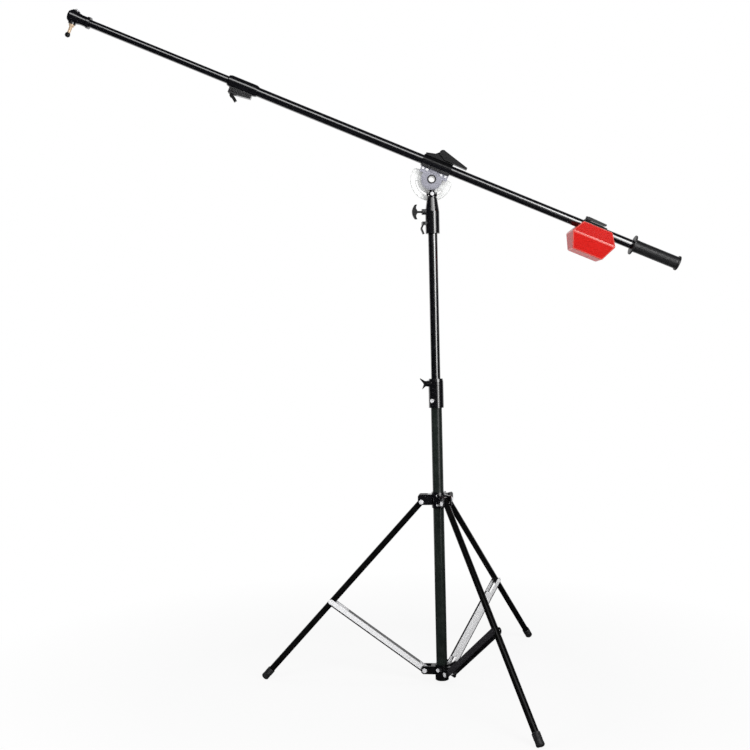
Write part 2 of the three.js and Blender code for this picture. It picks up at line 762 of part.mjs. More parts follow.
// Legs, shoes, braces and their pins, one set for each leg
function makeLegs() {
  const pinHalf = LEG_R + RUN - GAP;
  for (const [name, azimuth] of Object.entries(LEG_AZIMUTHS)) {
    const sector = new THREE.Group();
    sector.rotation.z = THREE.MathUtils.degToRad(azimuth);
    object.add(sector);
    const leg = frameAt(sector, HUB_PIVOT_R, 0, HUB_PIVOT_Z, LEG_ANGLE);
    piece(leg, `leg_${name}`, legTube(), BLACK_GLOSS);
    piece(leg, `leg_shoe_${name}`, legShoe(), RUBBER);
    const pin = moved(rod(BOLT_R, -pinHalf, pinHalf, "y", SMALL_SIDES), BRACE_PIN_AT, 0, 0);
    piece(leg, `leg_cross_pin_${name}`, pin, BOLT_STEEL);
    const legBolt = bolt(BOLT_R, BOLT_HEAD_R, BOLT_HEAD, FORK_HALF + EAR + GAP, "y");
    piece(sector, `leg_bolt_${name}`, moved(legBolt, HUB_PIVOT_R, 0, HUB_PIVOT_Z), BOLT_STEEL);
    const brace = frameAt(sector, LOW_PIVOT_R, 0, LOW_PIVOT_Z, -BRACE_ANGLE);
    piece(brace, `brace_${name}`, braceChannel(), SILVER);
    const braceBolt = bolt(BOLT_R, BOLT_HEAD_R, BOLT_HEAD, LOW_FORK_HALF + EAR + GAP, "y");
    piece(sector, `brace_bolt_${name}`, moved(braceBolt, LOW_PIVOT_R, 0, LOW_PIVOT_Z), BOLT_STEEL);
  }
}

makeColumn();
makeLowerHub();
makeUpperHub();
makeLegs();

// Clamp collar fixed on the base tube, with its lock knob and pinch screw
function makeCollar() {
  const points = [
    [0, COLLAR_LOW_Z],
    [COLLAR_R, COLLAR_LOW_Z],
    [COLLAR_R, COLLAR_TOP_Z - COLLAR_CHAMFER * 2],
    [COLLAR_NECK_R, COLLAR_TOP_Z],
    [0, COLLAR_TOP_Z],
  ];
  const boss = aimed(
    moved(rod(KNOB_BOSS_R, 0, KNOB_BOSS_REACH, "x", SMALL_SIDES), 0, 0, KNOB_Z),
    KNOB_AZIMUTH,
  );
  const lug = aimed(
    moved(rod(PINCH_BOSS_R, 0, PINCH_BOSS_REACH, "x", SMALL_SIDES), 0, 0, PINCH_Z),
    PINCH_AZIMUTH,
  );
  const body = join(turned(points, "z", FINE_SIDES), boss, lug);
  const bores = join(
    rod(BASE_R + GAP, COLLAR_LOW_Z - OVERRUN, BASE_TOP_Z + GAP, "z", FINE_SIDES),
    rod(MID_R + GAP, COLLAR_LOW_Z, COLLAR_TOP_Z + OVERRUN, "z", FINE_SIDES),
  );
  const stemHole = radialHole(KNOB_AZIMUTH, KNOB_Z, KNOB_BOSS_REACH, KNOB_STEM_SINK, KNOB_STEM_R);
  const pinchHole = radialHole(PINCH_AZIMUTH, PINCH_Z, PINCH_BOSS_REACH, CLAMP_BOLT_SINK, CLAMP_BOLT_R);
  piece(object, "mid_collar", cut(body, bores, stemHole, pinchHole), BLACK_CAST);
  const pinch = radialScrew(
    PINCH_AZIMUTH,
    PINCH_Z,
    PINCH_BOSS_REACH,
    CLAMP_BOLT_SINK,
    CLAMP_BOLT_R,
    CLAMP_BOLT_HEAD_R,
    CLAMP_BOLT_HEAD,
  );
  piece(object, "mid_collar_screw", pinch, BOLT_STEEL);
  const face = KNOB_BOSS_REACH + GAP;
  const stem = stepped(
    KNOB_BOSS_REACH - KNOB_STEM_SINK,
    [[KNOB_STEM_R, face], [KNOB_HUB_R, face + KNOB_HUB]],
    "x",
  );
  const wing = [
    [face, -WING_WIDE / 2],
    [face + KNOB_HUB, -WING_WIDE / 2],
    [face + WING_LENGTH, WING_WIDE * 2],
    [face + KNOB_HUB, WING_WIDE],
    [face, WING_WIDE / 2],
  ];
  const wings = [0, 180].map(
    (turn) => slab(wing, -WING_THICK / 2, WING_THICK / 2).rotate([turn, 0, 0]),
  );
  const knob = join(stem, ...wings).rotate([WING_TURN, 0, 0]);
  piece(object, "mid_collar_knob", aimed(moved(knob, 0, 0, KNOB_Z), KNOB_AZIMUTH), BLACK_CAST);
}

// Upper collar fixed on the mid tube, with its crescent knob and its hook lever
function makeCrown() {
  const points = [
    [0, CROWN_LOW_Z],
    [CROWN_R, CROWN_LOW_Z],
    [CROWN_R, CROWN_TAPER_Z],
    [CROWN_NECK_R, CROWN_TOP_Z],
    [0, CROWN_TOP_Z],
  ];
  const boss = aimed(
    moved(rod(TKNOB_BOSS_R, 0, TKNOB_BOSS_REACH, "x", SMALL_SIDES), 0, 0, TKNOB_Z),
    TKNOB_AZIMUTH,
  );
  const eyeZ = HOOK_TOP_Z - HOOK_EYE_R;
  const lugHalf = HOOK_WIDE / 2 + RUN + HOOK_LUG;
  const lugs = block(
    [CROWN_R / 2, -lugHalf, eyeZ - HOOK_EYE_R],
    [HOOK_LUG_REACH, lugHalf, eyeZ + HOOK_EYE_R],
  );
  const slotHalf = HOOK_WIDE / 2 + RUN;
  const slot = block(
    [CROWN_R + RUN, -slotHalf, eyeZ - HOOK_EYE_R * 2],
    [HOOK_LUG_REACH + OVERRUN, slotHalf, eyeZ + HOOK_EYE_R * 2],
  );
  const pinX = HOOK_LUG_REACH - HOOK_EYE_R + RUN;
  const pinHole = moved(
    rod(HOOK_PIN_R + GAP, -lugHalf - OVERRUN, lugHalf + OVERRUN, "y", SMALL_SIDES),
    pinX,
    0,
    eyeZ,
  );
  const ears = aimed(cut(lugs, slot, pinHole), HOOK_AZIMUTH);
  const bores = join(
    rod(MID_R + GAP, CROWN_LOW_Z - OVERRUN, MID_TOP_Z + GAP, "z", FINE_SIDES),
    rod(TOP_R + GAP, CROWN_LOW_Z, CROWN_TOP_Z + OVERRUN, "z", FINE_SIDES),
  );
  const stemHole = radialHole(TKNOB_AZIMUTH, TKNOB_Z, TKNOB_BOSS_REACH, TKNOB_STEM_SINK, TKNOB_STEM_R);
  piece(
    object,
    "top_collar",
    cut(join(turned(points, "z", FINE_SIDES), boss, ears), bores, stemHole),
    BLACK_CAST,
  );

  const shape = new THREE.Shape();
  shape.moveTo(TKNOB_FACE, -TKNOB_WIDE / 2);
  shape.lineTo(TKNOB_FACE, TKNOB_WIDE / 2);
  shape.quadraticCurveTo(TKNOB_FACE + TKNOB_HORN, TKNOB_SPAN / 2, TKNOB_FACE, TKNOB_SPAN);
  shape.lineTo(TKNOB_FACE + TKNOB_HORN, TKNOB_SPAN);
  shape.quadraticCurveTo(
    TKNOB_FACE + TKNOB_DEEP * 2 - TKNOB_HORN,
    0,
    TKNOB_FACE + TKNOB_HORN,
    -TKNOB_SPAN,
  );
  shape.lineTo(TKNOB_FACE, -TKNOB_SPAN);
  shape.quadraticCurveTo(TKNOB_FACE + TKNOB_HORN, -TKNOB_SPAN / 2, TKNOB_FACE, -TKNOB_WIDE / 2);
  const stem = rod(
    TKNOB_STEM_R,
    TKNOB_BOSS_REACH - TKNOB_STEM_SINK,
    TKNOB_FACE + TKNOB_HORN,
    "x",
    SMALL_SIDES,
  );
  const knob = join(stem, slab(shape, -TKNOB_WIDE / 2, TKNOB_WIDE / 2));
  piece(object, "top_collar_knob", aimed(moved(knob, 0, 0, TKNOB_Z), TKNOB_AZIMUTH), BLACK_CAST);

  const low = HOOK_LOW_Z - eyeZ;
  const bulge = HOOK_BULGE - pinX;
  const route = [
    [0, 0],
    [bulge / 2, low / 4],
    [bulge, low / 2],
    [bulge / 2, (low * 3) / 4],
    [0, low],
  ];
  const eye = rod(HOOK_EYE_R, -HOOK_WIDE / 2, HOOK_WIDE / 2, "y", SMALL_SIDES);
  const lever = join(eye, slab(strap(route, HOOK_THICK), -HOOK_WIDE / 2, HOOK_WIDE / 2));
  const pin = rod(HOOK_PIN_R, -lugHalf, lugHalf, "y", SMALL_SIDES);
  piece(
    object,
    "top_collar_lever",
    aimed(moved(join(lever, pin), pinX, 0, eyeZ), HOOK_AZIMUTH),
    BLACK_CAST,
  );
}

makeCollar();
makeCrown();

// Neck that turns in the top tube and carries the tilting head on a cheek behind its disc
function makeNeck() {
  const seat = TOP_TOP_Z + GAP;
  const waistTop = PIVOT_Z - DISC_R - RUN;
  const rows = [
    [TOP_R - WALL - GAP, seat],
    [NECK_FLANGE_R, seat + NECK_FLANGE],
    [NECK_WAIST_R, waistTop],
  ];
  const post = stepped(seat - NECK_PLUG_DEPTH, rows);
  const studZ = PIVOT_Z - STUD_DROP;
  const boss = moved(rod(NECK_BOSS_R, 0, NECK_BOSS_REACH, "x", SMALL_SIDES), 0, 0, studZ);
  const shank = block(
    [-CHEEK_HALF, CHEEK_FRONT, waistTop - NECK_WAIST_R],
    [CHEEK_HALF, CHEEK_BACK, PIVOT_Z],
  );
  const cheek = moved(rod(CHEEK_R, CHEEK_FRONT, CHEEK_BACK, "y", FINE_SIDES), 0, 0, PIVOT_Z);
  const bore = moved(
    rod(BUSH_R + GAP, CHEEK_FRONT - OVERRUN, CHEEK_BACK + OVERRUN, "y"),
    0,
    0,
    PIVOT_Z,
  );
  const studHole = moved(
    rod(STUD_R + GAP, -NECK_FLANGE_R, NECK_FLANGE_R, "y", SMALL_SIDES),
    0,
    0,
    studZ,
  );
  const screwRod = rod(NECK_SCREW_R + GAP, -NECK_WAIST_R * 2, -NECK_SCREW_FROM + GAP, "x", SMALL_SIDES);
  const body = join(post, boss, shank, cheek);
  piece(object, "swivel_neck", cut(body, bore, studHole, moved(screwRod, 0, 0, studZ)), BLACK_CAST);
  const headFrom = -NECK_SCREW_HEAD_FROM;
  const screw = stepped(
    headFrom - NECK_SCREW_HEAD,
    [[NECK_SCREW_HEAD_R, headFrom], [NECK_SCREW_R, -NECK_SCREW_FROM]],
    "x",
    SMALL_SIDES,
  );
  piece(object, "neck_screw", moved(screw, 0, 0, studZ), BLACK_CAST);
  const nutFace = PLATE_FRONT + PLATE + GAP;
  const stud = stepped(
    -NECK_WAIST_R - GAP - STUD_HEAD,
    [[STUD_HEAD_R, -NECK_WAIST_R - GAP], [STUD_R, nutFace], [STUD_NUT_R, nutFace + STUD_NUT]],
    "y",
    SMALL_SIDES,
  );
  piece(object, "tilt_stud", moved(stud, 0, 0, studZ), BOLT_STEEL);
}

// Disc, angle plate and bush that tilt with the boom, in the boom's own frame
function makePlates(boom) {
  const back = DISC_FRONT + DISC;
  const circle = rod(DISC_R, DISC_FRONT, back, "y", FINE_SIDES);
  const above = block(
    [-DISC_R * 2, DISC_FRONT - OVERRUN, DISC_TAB_LOW],
    [DISC_R * 2, back + OVERRUN, DISC_R * 2],
  );
  const tab = block(
    [-DISC_TAB_HALF, DISC_FRONT, DISC_TAB_LOW - DISC],
    [DISC_TAB_HALF, back, DISC_TAB_TOP],
  );
  const pad = block(
    [DISC_PAD_FROM, DISC_FRONT - DISC_PAD, DISC_TAB_LOW + DISC],
    [DISC_PAD_TO, DISC_FRONT + DISC / 2, DISC_TAB_TOP],
  );
  const bore = rod(BUSH_R + GAP, -PLATE_R, PLATE_R, "y");
  const screwHoles = DISC_BOLT_PLACES.map((x) =>
    moved(
      rod(DISC_BOLT_R + GAP, DISC_FRONT - OVERRUN, back + DISC_BOLT_DEEP, "y", SMALL_SIDES),
      x,
      0,
      DISC_BOLT_RISE,
    ),
  );
  piece(boom, "pivot_disc", cut(join(cut(circle, above), tab, pad), bore, ...screwHoles), SILVER);

  const edge = new THREE.Shape();
  const rim = Math.asin(PLATE_TOP / 2 / PLATE_R);
  const corner = PLATE_R * Math.cos(rim);
  edge.absarc(0, 0, PLATE_R, Math.PI - rim, rim, false);
  edge.quadraticCurveTo(corner, PLATE_TOP, corner - PLATE_CORNER, PLATE_TOP);
  edge.lineTo(PLATE_CORNER - corner, PLATE_TOP);
  edge.quadraticCurveTo(-corner, PLATE_TOP, -corner, PLATE_TOP / 2);
  const sheet = slab(edge, PLATE_FRONT, PLATE_FRONT + PLATE);
  const sweep = THREE.MathUtils.degToRad(PLATE_SLOT_SWEEP);
  const slotPath = [];
  for (let i = 0; i <= SMALL_SIDES; i += 1) {
    const turn = -sweep + (sweep * 2 * i) / SMALL_SIDES;
    slotPath.push([Math.sin(turn) * STUD_DROP, -Math.cos(turn) * STUD_DROP]);
  }
  const slot = slab(
    strap(slotPath, (STUD_R + RUN) * 2),
    PLATE_FRONT - OVERRUN,
    PLATE_FRONT + PLATE + OVERRUN,
  );
  piece(boom, "angle_plate", cut(sheet, bore, slot), PALE);

  const bushBack = PLATE_FRONT + PLATE + GAP;
  const points = [
    [BUSH_BORE_R, DISC_FRONT - GAP - BUSH_LIP],
    [BUSH_LIP_R, DISC_FRONT - GAP - BUSH_LIP],
    [BUSH_LIP_R, DISC_FRONT - GAP],
    [BUSH_R, DISC_FRONT - GAP],
    [BUSH_R, bushBack],
    [BUSH_LIP_R, bushBack],
    [BUSH_LIP_R, bushBack + BUSH_LIP],
    [BUSH_BORE_R, bushBack + BUSH_LIP],
    [BUSH_BORE_R, DISC_FRONT - GAP - BUSH_LIP],
  ];
  piece(boom, "pivot_bush", turned(points, "y"), BLACK_CAST);
}

// The clamp's saddle under the boom, with the lip that the disc is screwed to
function makeSaddle(boom) {
  const sleeve = moved(
    pipe(CLAMP_R, REAR_R + GAP, CLAMP_FROM, CLAMP_TO, "x", FINE_SIDES),
    0,
    0,
    BOOM_RISE,
  );
  const above = block(
    [CLAMP_FROM - OVERRUN, -CLAMP_R * 2, BOOM_RISE - CLAMP_SPLIT],
    [CLAMP_TO + OVERRUN, CLAMP_R * 2, BOOM_RISE + CLAMP_R * 2],
  );
  const tube = moved(
    rod(REAR_R + GAP, CLAMP_FROM - OVERRUN, CLAMP_TO + OVERRUN, "x", FINE_SIDES),
    0,
    0,
    BOOM_RISE,
  );
  const foot = block(
    [-FOOT_HALF, FOOT_FRONT, BOOM_RISE + FOOT_LOW],
    [FOOT_HALF, FOOT_BACK, BOOM_RISE + FOOT_TOP],
  );
  const lip = block(
    [-FOOT_HALF, DISC_FRONT + DISC + GAP, BOOM_RISE + LIP_LOW],
    [FOOT_HALF, FOOT_BACK, BOOM_RISE + FOOT_TOP],
  );
  const rail = block(
    [CLAMP_FROM, CLAMP_R / 2, BOOM_RISE + FOOT_LOW + HINGE_R],
    [CLAMP_TO, HINGE_Y - HINGE_R, BOOM_RISE - HINGE_EYE_R / 2],
  );
  const eyes = hingeEyes([[0, EYE_SHARES[0]], [EYE_SHARES[1], 1]]);
  const screwHoles = DISC_BOLT_PLACES.map((x) =>
    moved(
      rod(DISC_BOLT_R + GAP, DISC_FRONT, DISC_FRONT + DISC + DISC_BOLT_DEEP, "y", SMALL_SIDES),
      x,
      0,
      DISC_BOLT_RISE,
    ),
  );
  const body = cut(
    join(cut(sleeve, above), cut(foot, tube), cut(lip, tube), cut(rail, tube), eyes),
    ...screwHoles,
  );
  const room = moved(hingeRoom([EYE_SHARES]), 0, HINGE_Y, BOOM_RISE);
  const hole = moved(
    rod(HINGE_R + GAP, CLAMP_FROM - OVERRUN, CLAMP_TO + OVERRUN, "x", SMALL_SIDES),
    0,
    HINGE_Y,
    BOOM_RISE,
  );
  piece(boom, "clamp_saddle", cut(body, room, hole, ...knuckleGrooves()), BLACK_CAST);
  const places = DISC_BOLT_PLACES.map((x, i) => [i + 1, x]);
  for (const [number, x] of places) {
    const face = DISC_FRONT - GAP;
    const rows = [[DISC_BOLT_HEAD_R, face], [DISC_BOLT_R, DISC_FRONT + DISC + DISC_BOLT_DEEP - GAP]];
    const screw = stepped(face - DISC_BOLT_HEAD, rows, "y", SMALL_SIDES);
    piece(boom, `disc_screw_${number}`, moved(screw, x, 0, DISC_BOLT_RISE), BOLT_STEEL);
  }
}

const alongClamp = (share) => CLAMP_FROM + (CLAMP_TO - CLAMP_FROM) * share;

// Hinge eyes at the clamp's back, on stretches given as shares of its length
function hingeEyes(stretches) {
  const eyes = stretches.map(([from, to]) => {
    const low = alongClamp(from) + (from > 0 ? RUN : 0);
    const high = alongClamp(to) - (to < 1 ? RUN : 0);
    const eye = moved(rod(HINGE_EYE_R, low, high, "x", SMALL_SIDES), 0, HINGE_Y, BOOM_RISE);
    return eye;
  });
  return join(...eyes);
}

// The room that the other half's eyes turn in
function hingeRoom(stretches) {
  const rooms = stretches.map(([from, to]) =>
    rod(HINGE_EYE_R + RUN, alongClamp(from) - RUN, alongClamp(to) + RUN, "x", SMALL_SIDES),
  );
  return join(...rooms);
}

// Shallow grooves round the sleeve that mark its three knuckles
function knuckleGrooves() {
  return KNUCKLE_SHARES.map((share) => {
    const at = alongClamp(share);
    const ring = pipe(
      CLAMP_R * 2,
      CLAMP_R - KNUCKLE_DEEP,
      at - KNUCKLE_GROOVE / 2,
      at + KNUCKLE_GROOVE / 2,
      "x",
    );
    const front = block([CLAMP_FROM, -CLAMP_R * 2, FOOT_LOW], [CLAMP_TO, -CLAMP_R / 2, CLAMP_R / 2]);
    return moved(ring.intersect(front), 0, 0, BOOM_RISE);
  });
}

// The clamp's cap above the boom, its hinge pin and its cam lever
function makeCap(boom) {
  const sleeve = pipe(CLAMP_R, REAR_R + GAP, CLAMP_FROM, CLAMP_TO, "x", FINE_SIDES);
  const below = block(
    [CLAMP_FROM - OVERRUN, -CLAMP_R * 2, -CLAMP_R * 2],
    [CLAMP_TO + OVERRUN, CLAMP_R * 2, CLAMP_SPLIT],
  );
  const tube = rod(REAR_R + GAP, CLAMP_FROM - OVERRUN, CLAMP_TO + OVERRUN, "x", FINE_SIDES);
  const rib = [
    [-CAP_BACK, CAP_BASE],
    [CAP_END, CAP_BASE],
    [CAP_NOSE, CAP_NOSE_TOP],
    [LEVER_X + LEVER_CAM_R, LEVER_Z],
    [LEVER_X, CAP_HORN_TOP],
    [LEVER_X - LEVER_CAM_R, LEVER_Z],
    [-CAP_SHOULDER * 2, LEVER_Z - CAP_SHOULDER],
    [-CAP_BACK, CAP_BACK_TOP],
  ];
  const ribs = cut(slab(rib, -CAP_RIB_HALF, CAP_RIB_HALF), tube);
  const arm = block(
    [alongClamp(EYE_SHARES[0]) + RUN, CLAMP_R / 2, CLAMP_SPLIT],
    [alongClamp(EYE_SHARES[1]) - RUN, HINGE_Y, HINGE_EYE_R],
  );
  const eye = moved(hingeEyes([EYE_SHARES]), 0, 0, -BOOM_RISE);
  const shape = join(cut(sleeve, below), ribs, cut(arm, tube), eye);
  const room = moved(hingeRoom([[0, EYE_SHARES[0]], [EYE_SHARES[1], 1]]), 0, HINGE_Y, 0);
  const pinHole = moved(
    rod(HINGE_R + GAP, CLAMP_FROM - OVERRUN, CLAMP_TO + OVERRUN, "x", SMALL_SIDES),
    0,
    HINGE_Y,
    0,
  );
  const leverHole = moved(
    rod(LEVER_PIN_R + GAP, -LEVER_HALF, LEVER_HALF, "y", SMALL_SIDES),
    LEVER_X,
    0,
    LEVER_Z,
  );
  const grooves = knuckleGrooves().map((g) => moved(g, 0, 0, -BOOM_RISE));
  const cap = cut(shape, room, pinHole, leverHole, ...grooves);
  piece(boom, "clamp_cap", moved(cap, 0, 0, BOOM_RISE), BLACK_CAST);
  const pin = moved(
    rod(HINGE_R, CLAMP_FROM - HINGE_END, CLAMP_TO + HINGE_END, "x", SMALL_SIDES),
    0,
    HINGE_Y,
    BOOM_RISE,
  );
  piece(boom, "clamp_hinge_pin", pin, BOLT_STEEL);

  const cam = moved(rod(LEVER_CAM_R, -LEVER_HALF, LEVER_HALF, "y"), LEVER_X, 0, LEVER_Z);
  const wedge = [
    [LEVER_X, LEVER_Z - LEVER_CAM_R],
    [LEVER_X + LEVER_CAM_R, CLAMP_R + LEVER_SOLE],
    [CLAMP_TO, CLAMP_R + LEVER_SOLE],
    [LEVER_TIP_X, LEVER_TIP_Z - LEVER_TIP / 2],
    [LEVER_TIP_X, LEVER_TIP_Z + LEVER_TIP / 2],
    [LEVER_X, LEVER_Z + LEVER_CAM_R],
  ];
  const handle = slab(wedge, -LEVER_HALF, LEVER_HALF);
  const rest = LEVER_X + LEVER_HANDLE_FROM;
  const slotHalf = CAP_RIB_HALF + RUN;
  const slot = block([LEVER_X - LEVER_CAM_R * 2, -slotHalf, 0], [rest, slotHalf, LEVER_Z * 2]);
  const leverPin = moved(
    rod(LEVER_PIN_R, -LEVER_HALF, LEVER_HALF, "y", SMALL_SIDES),
    LEVER_X,
    0,
    LEVER_Z,
  );
  const clear = moved(rod(CLAMP_R + RUN, CLAMP_FROM, CLAMP_TO, "x"), 0, 0, 0);
  const lever = join(cut(join(cam, handle), slot, clear), leverPin);
  piece(boom, "clamp_lever", moved(lever, 0, 0, BOOM_RISE), BLACK_CAST);
}

// The boom's two tubes and the nylon plug between them
function makeBoomTubes(axis) {
  piece(
    axis,
    "boom_rear_tube",
    pipe(REAR_R, REAR_R - WALL, REAR_LOW, REAR_END, "x", FINE_SIDES),
    BLACK_GLOSS,
  );
  piece(
    axis,
    "boom_front_tube",
    pipe(FRONT_R, FRONT_R - WALL, FRONT_TIP, FRONT_INNER, "x", FINE_SIDES),
    BLACK_GLOSS,
  );
  const plugR = FRONT_R - WALL - GAP;
  const rows = [[plugR, FRONT_INNER + GAP], [REAR_R - WALL - GAP, FRONT_INNER + GAP + BUSH_FLANGE]];
  const body = stepped(FRONT_INNER - BUSH_PLUG, rows, "x");
  const bore = rod(
    plugR - BUSH_WALL,
    FRONT_INNER - BUSH_PLUG - OVERRUN,
    FRONT_INNER + BUSH_FLANGE + OVERRUN,
    "x",
  );
  piece(axis, "front_tube_plug", cut(body, bore), NYLON);
}

// The lock that holds the front tube in the rear tube
function makeLock(axis) {
  const points = [
    [0, LOCK_FROM],
    [LOCK_END_R, LOCK_FROM],
    [LOCK_R, LOCK_FROM + LOCK_CHAMFER],
    [LOCK_R, LOCK_TO - LOCK_CHAMFER],
    [LOCK_END_R, LOCK_TO],
    [0, LOCK_TO],
  ];
  const fin = [
    [LOCK_FIN_FROM, 0],
    [LOCK_FIN_FROM, -TRIGGER_R + TRIGGER_Z],
    [TRIGGER_X + TRIGGER_R, -TRIGGER_R + TRIGGER_Z],
    [LOCK_FIN_TO, -LOCK_FIN_DROP],
    [LOCK_FIN_TO, 0],
  ];
  const slotHalf = TRIGGER_HALF + RUN;
  const finHalf = slotHalf + LOCK_FIN_WALL;
  const room = block(
    [LOCK_FIN_FROM - OVERRUN, -slotHalf, TRIGGER_Z * 2],
    [TRIGGER_X + TRIGGER_SLOT, slotHalf, -LOCK_R - RUN],
  );
  const body = join(turned(points, "x", FINE_SIDES), cut(slab(fin, -finHalf, finHalf), room));
  const bores = join(
    rod(REAR_R + GAP, REAR_LOW - GAP, LOCK_TO + OVERRUN, "x", FINE_SIDES),
    rod(FRONT_R + GAP, LOCK_FROM - OVERRUN, LOCK_TO, "x", FINE_SIDES),
  );
  const pinHole = moved(
    rod(TRIGGER_PIN_R + GAP, -finHalf - OVERRUN, finHalf + OVERRUN, "y", SMALL_SIDES),
    TRIGGER_X,
    0,
    TRIGGER_Z,
  );
  piece(axis, "boom_lock", cut(body, bores, pinHole), BLACK_CAST);
  const route = [
    [TRIGGER_X, TRIGGER_Z],
    [TRIGGER_X, (TRIGGER_Z - TRIGGER_DROP) / 2],
    [TRIGGER_X + TRIGGER_HOOK / 3, -TRIGGER_DROP + TRIGGER_THICK],
    [TRIGGER_X + TRIGGER_HOOK, -TRIGGER_DROP],
  ];
  const eye = moved(
    rod(TRIGGER_R, -TRIGGER_HALF, TRIGGER_HALF, "y", SMALL_SIDES),
    TRIGGER_X,
    0,
    TRIGGER_Z,
  );
  const pin = moved(rod(TRIGGER_PIN_R, -finHalf, finHalf, "y", SMALL_SIDES), TRIGGER_X, 0, TRIGGER_Z);
  const trigger = join(eye, slab(strap(route, TRIGGER_THICK), -TRIGGER_HALF, TRIGGER_HALF), pin);
  piece(axis, "boom_lock_lever", trigger, BLACK_CAST);
}

// Head on the front tube, its screw, and the brass spigot with its black end
function makeHead(axis) {
  const points = [
    [0, HEAD_FROM],
    [HEAD_NOSE_R, HEAD_FROM],
    [HEAD_R, HEAD_FROM + HEAD_NOSE],
    [HEAD_R, HEAD_FROM + HEAD_BULB],
    [HEAD_NECK_R, HEAD_FROM + HEAD_BULB + HEAD_TAPER],
    [HEAD_NECK_R, HEAD_TO - HEAD_COLLAR],
    [HEAD_COLLAR_R, HEAD_TO - HEAD_COLLAR + HEAD_COLLAR_EDGE],
    [HEAD_COLLAR_R, HEAD_TO],
    [0, HEAD_TO],
  ];
  const boss = moved(rod(HEAD_EYE_R, -SPIGOT_BOSS_DROP, HEAD_SCREW_SEAT, "z"), SPIGOT_X, 0, 0);
  const socket = rod(FRONT_R + GAP, FRONT_TIP - GAP, HEAD_TO + OVERRUN, "x", FINE_SIDES);
  const spigotHole = moved(rod(SPIGOT_R + GAP, -HEAD_R * 2, SPIGOT_FROM + GAP, "z"), SPIGOT_X, 0, 0);
  const screwHole = moved(
    rod(HEAD_SCREW_R + GAP, HEAD_SCREW_LOW - GAP, HEAD_R * 2, "z", SMALL_SIDES),
    SPIGOT_X,
    0,
    0,
  );
  piece(
    axis,
    "head_block",
    cut(join(turned(points, "x", FINE_SIDES), boss), socket, spigotHole, screwHole),
    BLACK_CAST,
  );
  const seat = HEAD_SCREW_SEAT + GAP;
  const screw = stepped(
    HEAD_SCREW_LOW,
    [[HEAD_SCREW_R, seat], [HEAD_SCREW_HEAD_R, seat + HEAD_SCREW_HEAD]],
    "z",
    SMALL_SIDES,
  );
  piece(axis, "head_screw", moved(screw, SPIGOT_X, 0, 0), BLACK_CAST);
  const stud = [
    [0, SPIGOT_END],
    [SPIGOT_SHAFT_R, SPIGOT_END],
    [SPIGOT_SHAFT_R, SPIGOT_CONE_TO],
    [SPIGOT_R, SPIGOT_CONE_FROM],
    [SPIGOT_R, SPIGOT_FROM],
    [0, SPIGOT_FROM],
  ];
  const bore = rod(
    TIP_STUD_R + GAP,
    SPIGOT_END - OVERRUN,
    SPIGOT_END + TIP_STUD + GAP,
    "z",
    SMALL_SIDES,
  );
  piece(axis, "spigot", moved(cut(turned(stud), bore), SPIGOT_X, 0, 0), BRASS);
  const top = SPIGOT_END - GAP;
  const tip = [
    [0, top - TIP_LENGTH],
    [TIP_R - TIP_CHAMFER, top - TIP_LENGTH],
    [TIP_R, top - TIP_LENGTH + TIP_CHAMFER],
    [TIP_R, top - TIP_CHAMFER],
    [TIP_R - TIP_CHAMFER / 2, top],
    [TIP_STUD_R, top],
    [TIP_STUD_R, top + TIP_STUD],
    [0, top + TIP_STUD],
  ];
  piece(axis, "spigot_end", moved(turned(tip), SPIGOT_X, 0, 0), RUBBER);
}

// A solid from three flat sections: each row is a height, a half length and a half depth
function facetedWeight(rows) {
  const points = [];
  for (const [z, x, y] of rows) points.push([-x, -y, z], [x, -y, z], [x, y, z], [-x, y, z]);
  const quads = [[3, 2, 1, 0]];
  for (let i = 0; i + 1 < rows.length; i += 1) {
    for (let k = 0; k < 4; k += 1) {
      const [a, b] = [i * 4 + k, i * 4 + ((k + 1) % 4)];
      quads.push([a, b, b + 4, a + 4]);
    }
  }
  const last = (rows.length - 1) * 4;
  quads.push([last, last + 1, last + 2, last + 3]);
  const geometry = new THREE.BufferGeometry();
  geometry.setAttribute("position", new THREE.BufferAttribute(new Float32Array(points.flat()), 3));
  geometry.setIndex(quads.flatMap(([a, b, c, d]) => [a, b, c, a, c, d]));
  return solidOf(geometry);
}

